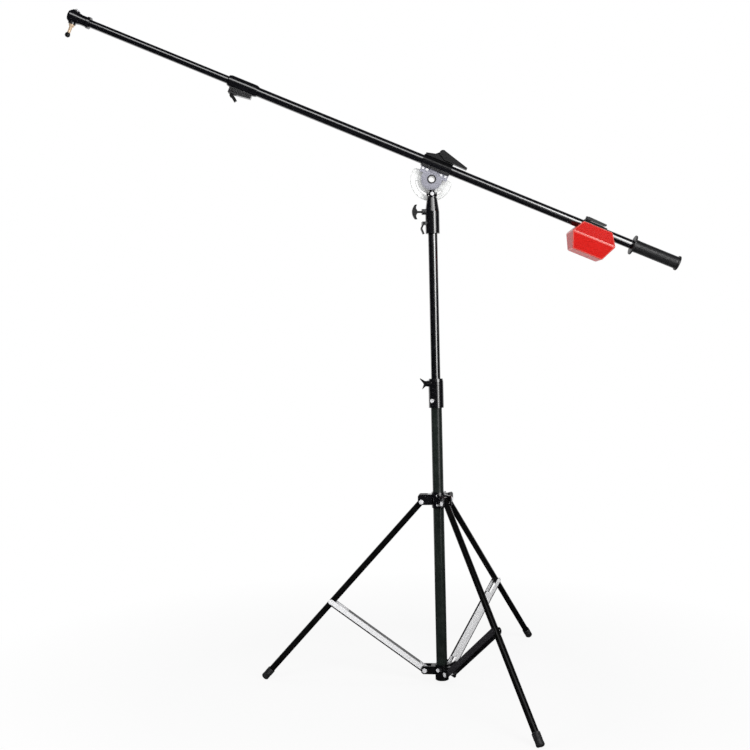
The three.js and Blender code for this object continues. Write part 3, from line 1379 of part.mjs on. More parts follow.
// Counterweight that rides on the boom in a saddle, with its clamp cap and cam lever
function makeWeight(axis) {
  const body = facetedWeight([
    [WEIGHT_LOW, WEIGHT_LOW_HALF, WEIGHT_LOW_DEEP],
    [WEIGHT_MID, WEIGHT_MID_HALF, WEIGHT_MID_DEEP],
    [WEIGHT_TOP, WEIGHT_TOP_HALF, WEIGHT_TOP_DEEP],
  ]);
  const reach = WEIGHT_MID_HALF + OVERRUN;
  const saddle = join(
    rod(REAR_R + RUN, -reach, reach, "x", FINE_SIDES),
    block([-reach, -REAR_R - RUN, 0], [reach, REAR_R + RUN, WEIGHT_TOP + OVERRUN]),
  );
  piece(axis, "counterweight", moved(cut(body, saddle), WEIGHT_X, 0, 0), RED);

  const seat = WEIGHT_TOP + GAP;
  const arch = rod(WCAP_R, WCAP_FROM, WCAP_TO, "x", FINE_SIDES);
  const flange = block([WCAP_FROM, -WCAP_HALF, seat], [WCAP_TO, WCAP_HALF, seat + WCAP_RIB_HALF]);
  const rib = block(
    [WLEVER_X - WCAP_RIB_REACH, -WCAP_RIB_HALF, seat],
    [WLEVER_X + WCAP_RIB_REACH, WCAP_RIB_HALF, WLEVER_Z + WLEVER_PIN_R * 2],
  );
  const tube = rod(REAR_R + RUN, -reach, reach, "x", FINE_SIDES);
  const below = block([-reach, -WCAP_HALF * 2, -WCAP_HALF * 2], [reach, WCAP_HALF * 2, seat]);
  const pinHole = moved(
    rod(WLEVER_PIN_R + GAP, -WLEVER_HALF, WLEVER_HALF, "y", SMALL_SIDES),
    WLEVER_X,
    0,
    WLEVER_Z,
  );
  const cap = cut(join(arch, flange, rib), tube, below, pinHole);
  piece(axis, "weight_clamp", moved(cap, WEIGHT_X, 0, 0), BLACK_CAST);

  const cam = moved(rod(WLEVER_CAM_R, -WLEVER_HALF, WLEVER_HALF, "y"), WLEVER_X, 0, WLEVER_Z);
  const sole = WCAP_R + WLEVER_SOLE;
  const wedge = [
    [WLEVER_X, WLEVER_Z - WLEVER_CAM_R],
    [WLEVER_X + WLEVER_HANDLE_FROM, sole],
    [WLEVER_TIP_X - WLEVER_TIP, sole],
    [WLEVER_TIP_X, sole + WLEVER_CROWN],
    [WLEVER_TIP_X, sole + WLEVER_TIP],
    [WLEVER_X, WLEVER_Z + WLEVER_CAM_R],
  ];
  const handle = slab(wedge, -WLEVER_HALF, WLEVER_HALF);
  const slotHalf = WCAP_RIB_HALF + RUN;
  const rest = WLEVER_X + WLEVER_HANDLE_FROM;
  const slot = block([WLEVER_X - WLEVER_CAM_R * 2, -slotHalf, 0], [rest, slotHalf, WLEVER_Z * 2]);
  const clear = rod(WCAP_R + RUN, -reach, reach, "x", FINE_SIDES);
  const pin = moved(
    rod(WLEVER_PIN_R, -WLEVER_HALF, WLEVER_HALF, "y", SMALL_SIDES),
    WLEVER_X,
    0,
    WLEVER_Z,
  );
  const lever = join(cut(join(cam, handle), slot, clear), pin);
  piece(axis, "weight_lever", moved(lever, WEIGHT_X, 0, 0), BLACK_CAST);
}

// Rubber grip with its guard, and the plug in the boom's rear end
function makeGrip(axis) {
  const points = [
    [REAR_R + GAP, GRIP_FROM],
    [GUARD_R, GRIP_FROM],
    [GUARD_R, GRIP_FROM + GUARD],
    [GRIP_COLLAR_R, GRIP_FROM + GUARD],
    [GRIP_R, GRIP_FROM + GUARD + GRIP_COLLAR],
    [GRIP_R, GRIP_TO - GRIP_END * 2],
    [GRIP_END_R, GRIP_TO - GRIP_END],
    [GRIP_END_R, GRIP_TO],
    [REAR_R + GAP, GRIP_TO],
    [REAR_R + GAP, GRIP_FROM],
  ];
  piece(axis, "grip", turned(points, "x", FINE_SIDES), RUBBER);
  const face = REAR_END + GAP;
  const plug = stepped(
    face - CAP_PLUG,
    [[REAR_R - WALL - GAP, face], [REAR_R - GAP, face + CAP_DISC]],
    "x",
  );
  piece(axis, "boom_end_plug", plug, NYLON);
}

makeNeck();
const boom = frameAt(object, 0, 0, PIVOT_Z, TILT);
makePlates(boom);
makeSaddle(boom);
makeCap(boom);
const axis = frameAt(boom, 0, 0, BOOM_RISE);
makeBoomTubes(axis);
makeLock(axis);
makeHead(axis);
makeWeight(axis);
makeGrip(axis);

// The origin goes to the floor, under the middle of the whole
const whole = new THREE.Group();
whole.add(object);
const box = new THREE.Box3().setFromObject(object, true);
object.position.set(-(box.min.x + box.max.x) / 2, -(box.min.y + box.max.y) / 2, -box.min.z);

export default whole;
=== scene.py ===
"""Looks of the overhead boom arm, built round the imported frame, in metres."""
import json
import math

import bpy
import bmesh
from mathutils import Matrix, Vector

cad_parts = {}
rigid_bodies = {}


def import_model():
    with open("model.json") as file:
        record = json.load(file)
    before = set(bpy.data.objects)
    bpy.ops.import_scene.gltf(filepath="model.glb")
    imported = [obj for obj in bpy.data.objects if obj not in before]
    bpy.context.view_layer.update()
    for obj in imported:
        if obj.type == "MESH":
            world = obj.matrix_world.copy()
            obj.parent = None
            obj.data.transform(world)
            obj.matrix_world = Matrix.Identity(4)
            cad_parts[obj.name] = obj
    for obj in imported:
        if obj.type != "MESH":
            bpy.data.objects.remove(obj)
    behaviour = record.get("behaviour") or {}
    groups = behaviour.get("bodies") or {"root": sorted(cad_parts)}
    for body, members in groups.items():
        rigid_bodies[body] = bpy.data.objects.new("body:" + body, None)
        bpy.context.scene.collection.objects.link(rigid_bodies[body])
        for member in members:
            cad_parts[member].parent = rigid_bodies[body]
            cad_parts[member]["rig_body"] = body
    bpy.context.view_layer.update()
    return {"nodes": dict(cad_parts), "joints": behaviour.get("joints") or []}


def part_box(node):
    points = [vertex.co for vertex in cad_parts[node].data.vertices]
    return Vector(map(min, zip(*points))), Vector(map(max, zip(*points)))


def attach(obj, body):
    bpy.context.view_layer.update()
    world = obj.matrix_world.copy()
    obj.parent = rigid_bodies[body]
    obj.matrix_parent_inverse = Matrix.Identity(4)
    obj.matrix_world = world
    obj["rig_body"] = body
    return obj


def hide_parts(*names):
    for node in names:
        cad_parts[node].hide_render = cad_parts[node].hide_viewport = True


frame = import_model()
nodes = frame["nodes"]
joints = {joint["name"]: joint for joint in frame["joints"]}

# Photograph's camera, aimed at a point beside the column
VIEW_AZIMUTH = -1.0
VIEW_ELEVATION = 1.96
VIEW_ROLL = -1.34
VIEW_DISTANCE = 3.192
VIEW_ASIDE = -0.194
VIEW_HEIGHT = 0.997
SENSOR = 36.0
FOCAL_SHARE = 1000 / 750

# Round pieces: their sides, the steps and share of a rounded corner, and limits
TUBE_SIDES = 96
ROUND_SIDES = 48
CORNER_STEPS = 4
CORNER_SHARE = 0.45
SMOOTH_ANGLE = math.radians(34)
AXIS_R = 1e-7
NEARLY_ALONG_Y = 0.9

# Cleaning of the pieces that keep their CAD shape, and steps of their rounded edges
WELD = 2e-6
FLAT_ANGLE = math.radians(0.6)
BEVEL_ANGLE = math.radians(28)
SHEET_STEPS = 2
EDGE_STEPS = 3
ROUND_STEPS = 4

# Radii of rounded edges
SHEET_EDGE = 0.0005
SHOE_EDGE = 0.0005
SMALL_EDGE = 0.0006
PIN_EDGE = 0.0008
TUBE_EDGE = 0.0009
SPIGOT_EDGE = 0.0009
PLATE_EDGE = 0.0009
CAST_EDGE = 0.001
COLLAR_EDGE = 0.0012
GRIP_EDGE = 0.0012
WEIGHT_LEVER_EDGE = 0.0012
LEVER_EDGE = 0.0014
PLUG_EDGE = 0.0015
KNOB_EDGE = 0.0018
WEIGHT_EDGE = 0.0035

# Finishes: span of the noise that is used, and how mottles, roughness and relief follow it
NOISE_LOW = 0.35
NOISE_HIGH = 0.65
MOTTLE_WIDE = 6
MOTTLE_DETAIL = 3
FINE_DETAIL = 4
ROUGH_SPREAD_SHARE = 0.15
RELIEF_STRENGTH = 0.35
COAT_ROUGH = 0.14

# Painted shade on the bright channels' lower edges and one edge of their web, as shares of their half
# depth and half width
PAINTED_SHADE_LOW_SHARE = 0.58
PAINTED_SHADE_WEB_SHARE = 0.97
PAINTED_SHADE_SIDE_SHARES = {"left": -0.8, "front": 0.4, "rear": 0.4}

# Walls of the tubes
TUBE_WALL = 0.0015

# Screws and bolts
SHANK_SHARE = 0.5
SOCKET_SHARE = 0.5
SOCKET_DEEP_SHARE = 0.6
COLUMN_SCREW_HEAD = 0.0035
NECK_SCREW_HEAD = 0.005
HEAD_SCREW_HEAD = 0.005
DISC_SCREW_HEAD = 0.003
DISC_SCREWS = 4
BOLT_HEAD = 0.004
BOLT_NUT = 0.004
HUB_WALL = 0.004
SET_SCREW_AZIMUTH = math.radians(258)
SET_SCREW_SHARES = (0.22, 0.8)
SET_SCREW_R = 0.0042
SET_SCREW_HEAD = 0.002

# Legs and their rubber shoes
LEGS = ("left", "front", "rear")
SHOE_RIBS = 4
SHOE_RIB_DEEP = 0.0008
SHOE_RIBBED_SHARE = 0.5
SHOE_RIB_START_SHARE = 0.25
SHOE_RIB_END_SHARE = 0.8
SHOE_TOE_SHARE = 0.25
SHOE_TOE_R_SHARE = 0.78

# Rubber grip, with the groove beside each rib as shares of a rib's step and depth
GUARD = 0.005
GRIP_COLLAR = 0.012
GRIP_COLLAR_R = 0.0205
GRIP_R = 0.020
GRIP_END = 0.006
GRIP_END_R = 0.024
GRIP_PLAIN_FRONT = 0.004
GRIP_PLAIN_BACK = 0.006
GRIP_RIBS = 30
GRIP_RIB_DEEP = 0.0003
GRIP_GROOVE_SHARES = ((0.1, 0), (0.3, 1), (0.5, 1), (0.7, 0))

# Spigot under the head: its thin shaft's radius and length, and the cone's length above it
SPIGOT_SHAFT_R = 0.005
SPIGOT_SHAFT = 0.019
SPIGOT_CONE = 0.005

# Marks on the tilt disc, in degrees and metres
TICK_REACH = 85
TICK_STEP = 5
TICK_LONG_EVERY = 3
TICK_LONG_FIRST = 2
TICK_WIDE = 0.0005
TICK_SHORT = 0.003
TICK_LONG = 0.0055
TICK_INSET = 0.0022
TICK_PROUD = 0.00012
DISC_R = 0.034
DISC_PAD = 0.002

# Floor: how far its shadows show, and how pale they are
FLOOR_HALF = 40
FLOOR_DROP = 0.0005
FLOOR_COLOUR = (0.92, 0.92, 0.92, 1)
FLOOR_ROUGH = 0.9
FLOOR_SPECULAR = 0.1
FLOOR_NEAR = 0.7
FLOOR_FAR = 1.6
FLOOR_GLOW = 0.90

# Lamps: strips along the boom and the column, and two soft ones that aren't reflected
STRIP_WIDE = 1.1
BOOM_STRIP_LONG = 5.6
BOOM_STRIP_AWAY = 3.0
BOOM_STRIP_RISE = math.radians(26)
BOOM_STRIP_POWER = 61
COLUMN_STRIP_LONG = 4.2
COLUMN_STRIP_AWAY = 3.5
COLUMN_STRIP_TURN = math.radians(31)
COLUMN_STRIP_POWER = 72
TOP_LAMP = (0.2, 0.6, 4.4)
TOP_LAMP_WIDE = 1.4
TOP_LAMP_LONG = 3.0
TOP_LAMP_POWER = 26
FILL_TURN = math.radians(-58)
FILL_AWAY = 2.4
FILL_HEIGHT = 0.55
FILL_WIDE = 1.2
FILL_LONG = 1.6
FILL_POWER = 30
WORLD_LEVEL = 0.10

# Dark drapes in front, beside, above and below, which the black enamel reflects
DRAPE_SIDE = 4.5
DRAPE_FRONT = -6.5
DRAPE_BACK = 3.0
DRAPE_CLOTH_BACK = 1.2
DRAPE_TOP = 5.2
DRAPE_LOW = 0.001
DRAPE_COLOUR = (0.02, 0.02, 0.024, 1)


# Materials
def shader(name):
    """A new material with its tree and its main shader."""
    made = bpy.data.materials.new(name)
    made.use_nodes = True
    tree = made.node_tree
    return made, tree, tree.nodes["Principled BSDF"]


def noise(tree, scale, detail):
    """Noise fixed to the object's own coordinates."""
    place = tree.nodes.new("ShaderNodeTexCoord")
    made = tree.nodes.new("ShaderNodeTexNoise")
    made.inputs["Scale"].default_value = scale
    made.inputs["Detail"].default_value = detail
    tree.links.new(place.outputs["Object"], made.inputs["Vector"])
    return made.outputs["Fac"]


def ranged(tree, source, low, high, start=NOISE_LOW, end=NOISE_HIGH):
    """A value stretched from start..end to low..high."""
    made = tree.nodes.new("ShaderNodeMapRange")
    made.inputs["From Min"].default_value = start
    made.inputs["From Max"].default_value = end
    made.inputs["To Min"].default_value = low
    made.inputs["To Max"].default_value = high
    tree.links.new(source, made.inputs["Value"])
    return made.outputs["Result"]


def mixed(tree, share, first, second):
    """One colour blended into another by a share."""
    made = tree.nodes.new("ShaderNodeMix")
    made.data_type = "RGBA"
    tree.links.new(share, made.inputs["Factor"])
    for socket, colour in (("A", first), ("B", second)):
        target = [i for i in made.inputs if i.name == socket and i.type == "RGBA"][0]
        if isinstance(colour, tuple):
            target.default_value = (*colour, 1)
        else:
            tree.links.new(colour, target)
    return [o for o in made.outputs if o.type == "RGBA"][0]


def bumped(tree, bsdf, height, strength, distance):
    """Relief from a height value."""
    made = tree.nodes.new("ShaderNodeBump")
    made.inputs["Strength"].default_value = strength
    made.inputs["Distance"].default_value = distance
    tree.links.new(height, made.inputs["Height"])
    tree.links.new(made.outputs["Normal"], bsdf.inputs["Normal"])


def worked(tree, operation, first, second):
    """The result of two values, each a socket or a number."""
    made = tree.nodes.new("ShaderNodeMath")
    made.operation = operation
    for target, value in zip(made.inputs, (first, second)):
        if isinstance(value, (int, float)):
            target.default_value = value
        else:
            tree.links.new(value, target)
    return made.outputs["Value"]


def shown(tree, share, first, second):
    """Sends a blend of two shaders to the surface."""
    mix = tree.nodes.new("ShaderNodeMixShader")
    tree.links.new(share, mix.inputs["Fac"])
    tree.links.new(first, mix.inputs[1])
    tree.links.new(second, mix.inputs[2])
    tree.links.new(mix.outputs["Shader"], tree.nodes["Material Output"].inputs["Surface"])


def surface(name, colour, other, rough, grain, relief, metal=0.0, **sockets):
    """A finish: two mottled colours, uneven roughness and fine relief."""
    made, tree, bsdf = shader(name)
    mottles = noise(tree, grain / MOTTLE_WIDE, MOTTLE_DETAIL)
    body = mixed(tree, ranged(tree, mottles, 0, 1), colour, other)
    tree.links.new(body, bsdf.inputs["Base Color"])
    fine = noise(tree, grain, FINE_DETAIL)
    spread = rough * ROUGH_SPREAD_SHARE
    uneven = ranged(tree, fine, rough - spread, rough + spread)
    tree.links.new(uneven, bsdf.inputs["Roughness"])
    bsdf.inputs["Metallic"].default_value = metal
    bsdf.inputs["Coat Roughness"].default_value = COAT_ROUGH
    for socket, value in sockets.items():
        bsdf.inputs[socket.replace("_", " ")].default_value = value
    bumped(tree, bsdf, fine, RELIEF_STRENGTH, relief)
    return made


def with_painted_shade(made, colour):
    """Paints shade on a channel's lower edges and one edge of its web, by its noted places."""
    tree = made.node_tree
    bsdf = tree.nodes["Principled BSDF"]
    body = bsdf.inputs["Base Color"].links[0].from_socket
    noted = tree.nodes.new("ShaderNodeAttribute")
    noted.attribute_name = "place"
    parts = tree.nodes.new("ShaderNodeSeparateXYZ")
    tree.links.new(noted.outputs["Vector"], parts.inputs["Vector"])
    low = worked(tree, "LESS_THAN", parts.outputs["Z"], -PAINTED_SHADE_LOW_SHARE)
    web = worked(tree, "GREATER_THAN", parts.outputs["Z"], PAINTED_SHADE_WEB_SHARE)
    side = worked(tree, "GREATER_THAN", parts.outputs["Y"], 0)
    share = worked(tree, "MAXIMUM", low, worked(tree, "MULTIPLY", web, side))
    tree.links.new(mixed(tree, share, body, colour), bsdf.inputs["Base Color"])
    return made


GLOSS = surface(
    "black_enamel", (0.002, 0.002, 0.003), (0.004, 0.004, 0.006),
    rough=0.24, grain=260, relief=0.000001, Coat_Weight=1.0, IOR=2.1,
)
LEG = surface(
    "leg_enamel", (0.002, 0.002, 0.002), (0.004, 0.004, 0.004),
    rough=0.24, grain=260, relief=0.000001, IOR=1.28,
)
DULL = surface(
    "worn_enamel", (0.009, 0.013, 0.011), (0.015, 0.020, 0.017),
    rough=0.32, grain=220, relief=0.000003, IOR=1.42,
)
CAST = surface(
    "black_casting", (0.003, 0.003, 0.004), (0.006, 0.006, 0.008),
    rough=0.21, grain=900, relief=0.000003, Coat_Weight=0.4, IOR=1.9,
)
SATIN = surface(
    "black_satin", (0.003, 0.003, 0.003), (0.005, 0.005, 0.006),
    rough=0.30, grain=900, relief=0.000003, IOR=1.36,
)
# The silver channel, with its lower edges and one web edge darkened as painted shade
SILVER = with_painted_shade(surface(
    "bright_channel_with_painted_shade", (0.90, 0.90, 0.91), (0.87, 0.87, 0.885),
    rough=0.40, grain=320, relief=0.000002, metal=0.1,
), (0.01, 0.01, 0.012))
# The front brace: the same silver channel painted dark all over, as painted shade
SHADED = surface(
    "painted_shade_channel", (0.022, 0.021, 0.024), (0.016, 0.015, 0.018),
    rough=0.40, grain=320, relief=0.000002, IOR=1.35,
)
STEEL = surface(
    "zinc_steel", (0.88, 0.88, 0.90), (0.82, 0.82, 0.84),
    rough=0.30, grain=600, relief=0.000002, metal=0.2,
)
BRASS = surface(
    "turned_brass", (0.86, 0.66, 0.46), (0.78, 0.56, 0.37),
    rough=0.25, grain=500, relief=0.000002, metal=0.4,
)
DIAL = surface(
    "satin_dial", (0.33, 0.33, 0.385), (0.30, 0.30, 0.35),
    rough=0.42, grain=420, relief=0.000001, metal=0.1,
)
PALE = surface(
    "pale_plate", (0.96, 0.97, 0.96), (0.95, 0.96, 0.95),
    rough=0.40, grain=420, relief=0.000001,
)
RED = surface(
    "red_enamel", (0.62, 0.012, 0.009), (0.57, 0.010, 0.007),
    rough=0.30, grain=160, relief=0.000001, IOR=1.25,
)
# Pale red for the weight's rounded edges: a painted highlight
RED_PAINTED_HIGHLIGHT = surface(
    "red_painted_highlight_edge", (0.76, 0.13, 0.11), (0.70, 0.08, 0.065),
    rough=0.26, grain=160, relief=0.000001,
)
# Dark colour for the tilt disc's rounded edges: painted shade
DARK_PAINTED_SHADE = surface(
    "dark_painted_shade_edge", (0.02, 0.02, 0.024), (0.03, 0.03, 0.034),
    rough=0.40, grain=160, relief=0.000001, IOR=1.3,
)
# Grey for the angle plate's rounded edges: painted shade
GREY_PAINTED_SHADE = surface(
    "grey_painted_shade_edge", (0.30, 0.31, 0.30), (0.26, 0.27, 0.26),
    rough=0.40, grain=160, relief=0.000001, IOR=1.3,
)
RUBBER = surface(
    "black_rubber", (0.010, 0.010, 0.011), (0.016, 0.016, 0.017),
    rough=0.42, grain=1200, relief=0.000008,
)
PLASTIC = surface(
    "moulded_plastic", (0.010, 0.010, 0.011), (0.018, 0.018, 0.019),
    rough=0.40, grain=1500, relief=0.000006,
)
INK = surface(
    "scale_ink", (0.02, 0.02, 0.022), (0.04, 0.04, 0.042),
    rough=0.6, grain=900, relief=0.000001,
)


# Places taken from the frame
def middle(node):
    """Centre of a CAD node's box."""
    low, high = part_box(node)
    return (Vector(low) + Vector(high)) / 2


def place_of(joint):
    """Where a hinge sits at rest."""
    return Vector(joints[joint]["pos_m"])


def axis_of(joint):
    """A joint's direction at rest."""
    return Vector(joints[joint]["axis"]).normalized()


class Line:
    """A straight line with a frame of its own, along which round pieces are made."""

    def __init__(self, origin, along):
        self.origin = Vector(origin)
        self.along = Vector(along).normalized()
        side = Vector((0, 1, 0))
        if abs(self.along.y) > NEARLY_ALONG_Y:
            side = Vector((0, 0, 1))
        self.up = self.along.cross(side).normalized()
        self.side = self.up.cross(self.along)

    def point(self, reach, angle, radius):
        """A point at a distance along the line and round it."""
        turn = self.side * math.cos(angle) + self.up * math.sin(angle)
        return self.origin + self.along * reach + turn * radius

    def span(self, node):
        """How far a CAD node reaches along the line, and its largest radius."""
        reaches, radii = [], []
        for vertex in nodes[node].data.vertices:
            away = vertex.co - self.origin
            reach = away.dot(self.along)
            reaches.append(reach)
            radii.append((away - self.along * reach).length)
        return min(reaches), max(reaches), max(radii)


base_middle = middle("base_tube")
column = Line((base_middle.x, base_middle.y, 0), (0, 0, 1))
boom = Line(middle("boom_rear_tube"), axis_of("boom_slide"))
boom_up = boom.up if boom.up.z > 0 else -boom.up


# Mesh making
def hexagon(angle):
    """Radius of a hexagon whose corners lie on a unit circle."""
    sector = math.radians(60)
    return math.cos(sector / 2) / math.cos(angle % sector - sector / 2)


def circle(angle):
    """Radius of a unit circle."""
    return 1.0


def softened(points, radius, closed=False):
    """An outline of (reach, radius) points with its corners rounded."""
    result = []
    count = len(points)
    for i, here in enumerate(points):
        if not closed and i in (0, count - 1):
            result.append(here)
            continue
        before = Vector(points[i - 1][:2])
        after = Vector(points[(i + 1) % count][:2])
        corner = Vector(here[:2])
        toward, away = before - corner, after - corner
        cut = min(radius, toward.length * CORNER_SHARE, away.length * CORNER_SHARE)
        start = corner + toward.normalized() * cut
        end = corner + away.normalized() * cut
        for step in range(CORNER_STEPS + 1):
            share = step / CORNER_STEPS
            spot = start.lerp(corner, share).lerp(corner.lerp(end, share), share)
            result.append((spot.x, spot.y, *here[2:]))
    return result


def linked(name, data):
    """A new object in the scene."""
    made = bpy.data.objects.new(name, data)
    bpy.context.scene.collection.objects.link(made)
    return made


def painted(node, material):
    """Gives a CAD piece a finish and leaves its shape."""
    nodes[node].data.materials.clear()
    nodes[node].data.materials.append(material)


def finished(name, bm, material, body, replaced=()):
    """Turns a bmesh into a smooth piece that rides on a body."""
    bmesh.ops.recalc_face_normals(bm, faces=bm.faces)
    mesh = bpy.data.meshes.new(name)
    bm.to_mesh(mesh)
    bm.free()
    mesh.shade_smooth()
    mesh.set_sharp_from_angle(angle=SMOOTH_ANGLE)
    mesh.materials.append(material)
    made = linked(name, mesh)
    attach(made, body)
    if replaced:
        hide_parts(*replaced)
    return made


def lathe(bm, line, points, sides=ROUND_SIDES, closed=False):
    """Adds a turned form: each point is a reach, a radius and, if it isn't round, its form."""
    rings = []
    for point in points:
        reach, radius = point[:2]
        form = point[2] if len(point) > 2 else circle
        if radius < AXIS_R:
            rings.append([bm.verts.new(line.point(reach, 0, 0))])
            continue
        angles = [2 * math.pi * i / sides for i in range(sides)]
        rings.append([bm.verts.new(line.point(reach, a, radius * form(a))) for a in angles])
    pairs = list(zip(rings, rings[1:]))
    if closed:
        pairs.append((rings[-1], rings[0]))
    for first, second in pairs:
        for i in range(sides):
            k = (i + 1) % sides
            if len(first) > 1 and len(second) > 1:
                bm.faces.new((first[i], first[k], second[k], second[i]))
            elif len(first) > 1:
                bm.faces.new((first[i], first[k], second[0]))
            elif len(second) > 1:
                bm.faces.new((first[0], second[k], second[i]))


def body_of(node):
    """Name of the CAD body that holds a node."""
    return nodes[node]["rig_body"]


def turned(node, line, points, material, sides=ROUND_SIDES, closed=False):
    """A turned piece in a CAD piece's place."""
    bm = bmesh.new()
    lathe(bm, line, points, sides, closed)
    return finished(f"{node}_skin", bm, material, body_of(node), (node,))


def tube(node, line, material):
    """A smooth round tube with rolled ends, in a CAD tube's place."""
    low, high, radius = line.span(node)
    outline = [
        (low, radius),
        (high, radius),
        (high, radius - TUBE_WALL),
        (low, radius - TUBE_WALL),
    ]
    points = softened(outline, TUBE_EDGE, closed=True)
    return turned(node, line, points, material, TUBE_SIDES, closed=True)


def refined(node, material, width, segments=EDGE_STEPS, rim=None):
    """A casting or pressing with its CAD shape and rounded edges, which can take their own colour: a
    painted highlight or painted shade.
    """
    bm = bmesh.new()
    bm.from_mesh(nodes[node].data)
    bmesh.ops.remove_doubles(bm, verts=bm.verts, dist=WELD)
    bmesh.ops.dissolve_limit(bm, angle_limit=FLAT_ANGLE, verts=bm.verts, edges=bm.edges)
    made = finished(f"{node}_skin", bm, material, body_of(node), (node,))
    bevel = made.modifiers.new("rounded edges", "BEVEL")
    bevel.width = width
    bevel.segments = segments
    bevel.limit_method = "ANGLE"
    bevel.angle_limit = BEVEL_ANGLE
    bevel.use_clamp_overlap = True
    bevel.miter_outer = "MITER_ARC"
    if rim:
        made.data.materials.append(rim)
        bevel.material = 1
    normals = made.modifiers.new("even shading", "WEIGHTED_NORMAL")
    normals.keep_sharp = True
    return made


def socket_head(low, head, radius, shank, high):
    """Outline of a socket head screw: its head from low, its shank to high."""
    socket = radius * SOCKET_SHARE
    deep = head * SOCKET_DEEP_SHARE
    return [
        (low + deep, 0),
        (low + deep, socket, hexagon),
        (low + head * 0.12, socket, hexagon),
        (low, socket * 1.16),
        (low, radius - head * 0.22),
        (low + head * 0.08, radius - head * 0.08),
        (low + head * 0.24, radius),
        (low + head * 0.96, radius),
        (low + head, radius - head * 0.04),
        (low + head, shank),
        (high, shank),
        (high, 0),
    ]


def screw(node, line, head, material=STEEL):
    """A socket head screw in a CAD screw's place."""
    low, high, radius = line.span(node)
    points = socket_head(low, head, radius, radius * SHANK_SHARE, high)
    return turned(node, line, points, material)


def column_screw(node):
    """A screw that points at the column."""
    spot = middle(node)
    outward = Vector((spot.x, spot.y, 0)) - column.origin
    return screw(node, Line(spot, -outward), COLUMN_SCREW_HEAD)


# Column
def make_column():
    """The column's tubes and the plugs in them."""
    tube("base_tube", column, DULL)
    tube("mid_tube", column, GLOSS)
    tube("top_tube", column, GLOSS)
    for node in ("mid_tube_plug", "top_tube_plug"):
        painted(node, PLASTIC)


# Tripod
def cross_bolt(node, joint, facing):
    """A domed bolt and its hexagon nut, through a hub's ears."""
    line = Line(middle(node), axis_of(joint) * facing)
    low, high, radius = line.span(node)
    shank = radius * SHANK_SHARE
    head, nut = BOLT_HEAD, BOLT_NUT
    points = [
        (low, 0),
        (low, radius * 0.35),
        (low + head * 0.2, radius * 0.68),
        (low + head * 0.55, radius * 0.92),
        (low + head * 0.8, radius),
        (low + head, radius * 0.98),
        (low + head, shank),
        (high - nut, shank),
        (high - nut, radius * 0.86),
        (high - nut * 0.85, radius, hexagon),
        (high - nut * 0.35, radius, hexagon),
        (high - nut * 0.2, radius * 0.84),
        (high - nut * 0.2, shank * 1.1),
        (high - nut * 0.2, shank * 1.02),
        (high, shank * 0.92),
        (high, 0),
    ]
    turned(node, line, points, STEEL)


def make_shoe(name, line):
    """A ribbed rubber shoe, pressed flat where it stands."""
    node = f"leg_shoe_{name}"
    low, high, radius = line.span(node)
    tube_radius = line.span(f"leg_{name}")[2]
    rib = (high - low) * SHOE_RIBBED_SHARE / SHOE_RIBS
    points = [(low, tube_radius), (low, radius - SHOE_RIB_DEEP * 2)]
    for i in range(SHOE_RIBS):
        start = low + rib * (i + SHOE_RIB_START_SHARE)
        end = low + rib * (i + SHOE_RIB_END_SHARE)
        points += [
            (start, radius - SHOE_RIB_DEEP),
            (start + SHOE_RIB_DEEP, radius),
            (end, radius),
            (end + SHOE_RIB_DEEP, radius - SHOE_RIB_DEEP),
        ]
    points += [
        (high - radius * SHOE_TOE_SHARE, radius),
        (high, radius * SHOE_TOE_R_SHARE),
        (high, 0),
    ]
    made = turned(node, line, softened(points, SHOE_EDGE), RUBBER, TUBE_SIDES)
    for vertex in made.data.vertices:
        vertex.co.z = max(vertex.co.z, 0.0)


def placed(made, start, end, side, edge):
    """Notes each vertex's place in a channel, for its painted shade: its depth in z, and in y how far
    it's past an edge.
    """
    up = side.cross(end - start).normalized()
    if up.z < 0:
        up = -up
    side = side.normalized() if side.y > 0 else -side.normalized()
    depths = [(vertex.co - start).dot(up) for vertex in made.data.vertices]
    sides = [(vertex.co - start).dot(side) for vertex in made.data.vertices]
    depth = max(map(abs, depths))
    width = max(map(abs, sides))
    noted = made.data.attributes.new("place", "FLOAT_VECTOR", "POINT")
    for entry, across, deep in zip(noted.data, sides, depths):
        entry.vector = (0, across / width - edge, deep / depth)


def make_tripod():
    """Hubs, legs, shoes, braces and their bolts."""
    refined("lower_hub", SATIN, CAST_EDGE)
    refined("upper_hub", CAST, CAST_EDGE)
    for name in LEGS:
        pivot = place_of(f"leg_{name}_hinge")
        line = Line(pivot, middle(f"leg_{name}") - pivot)
        tube(f"leg_{name}", line, LEG)
        make_shoe(name, line)
        # The front brace takes the channel painted dark as shade, the others the bright one
        finish = SHADED if name == "front" else SILVER
        brace = refined(f"brace_{name}", finish, SHEET_EDGE, SHEET_STEPS)
        hinge = f"brace_{name}_hinge"
        far = middle(f"leg_cross_pin_{name}")
        # Notes where the painted shade goes on the brace's edges
        placed(brace, place_of(hinge), far, axis_of(hinge), PAINTED_SHADE_SIDE_SHARES[name])
        facing = -1 if name == "front" else 1
        cross_bolt(f"leg_bolt_{name}", f"leg_{name}_hinge", facing)
        cross_bolt(f"brace_bolt_{name}", hinge, facing)
        painted(f"leg_cross_pin_{name}", STEEL)
    column_screw("lower_hub_screw")


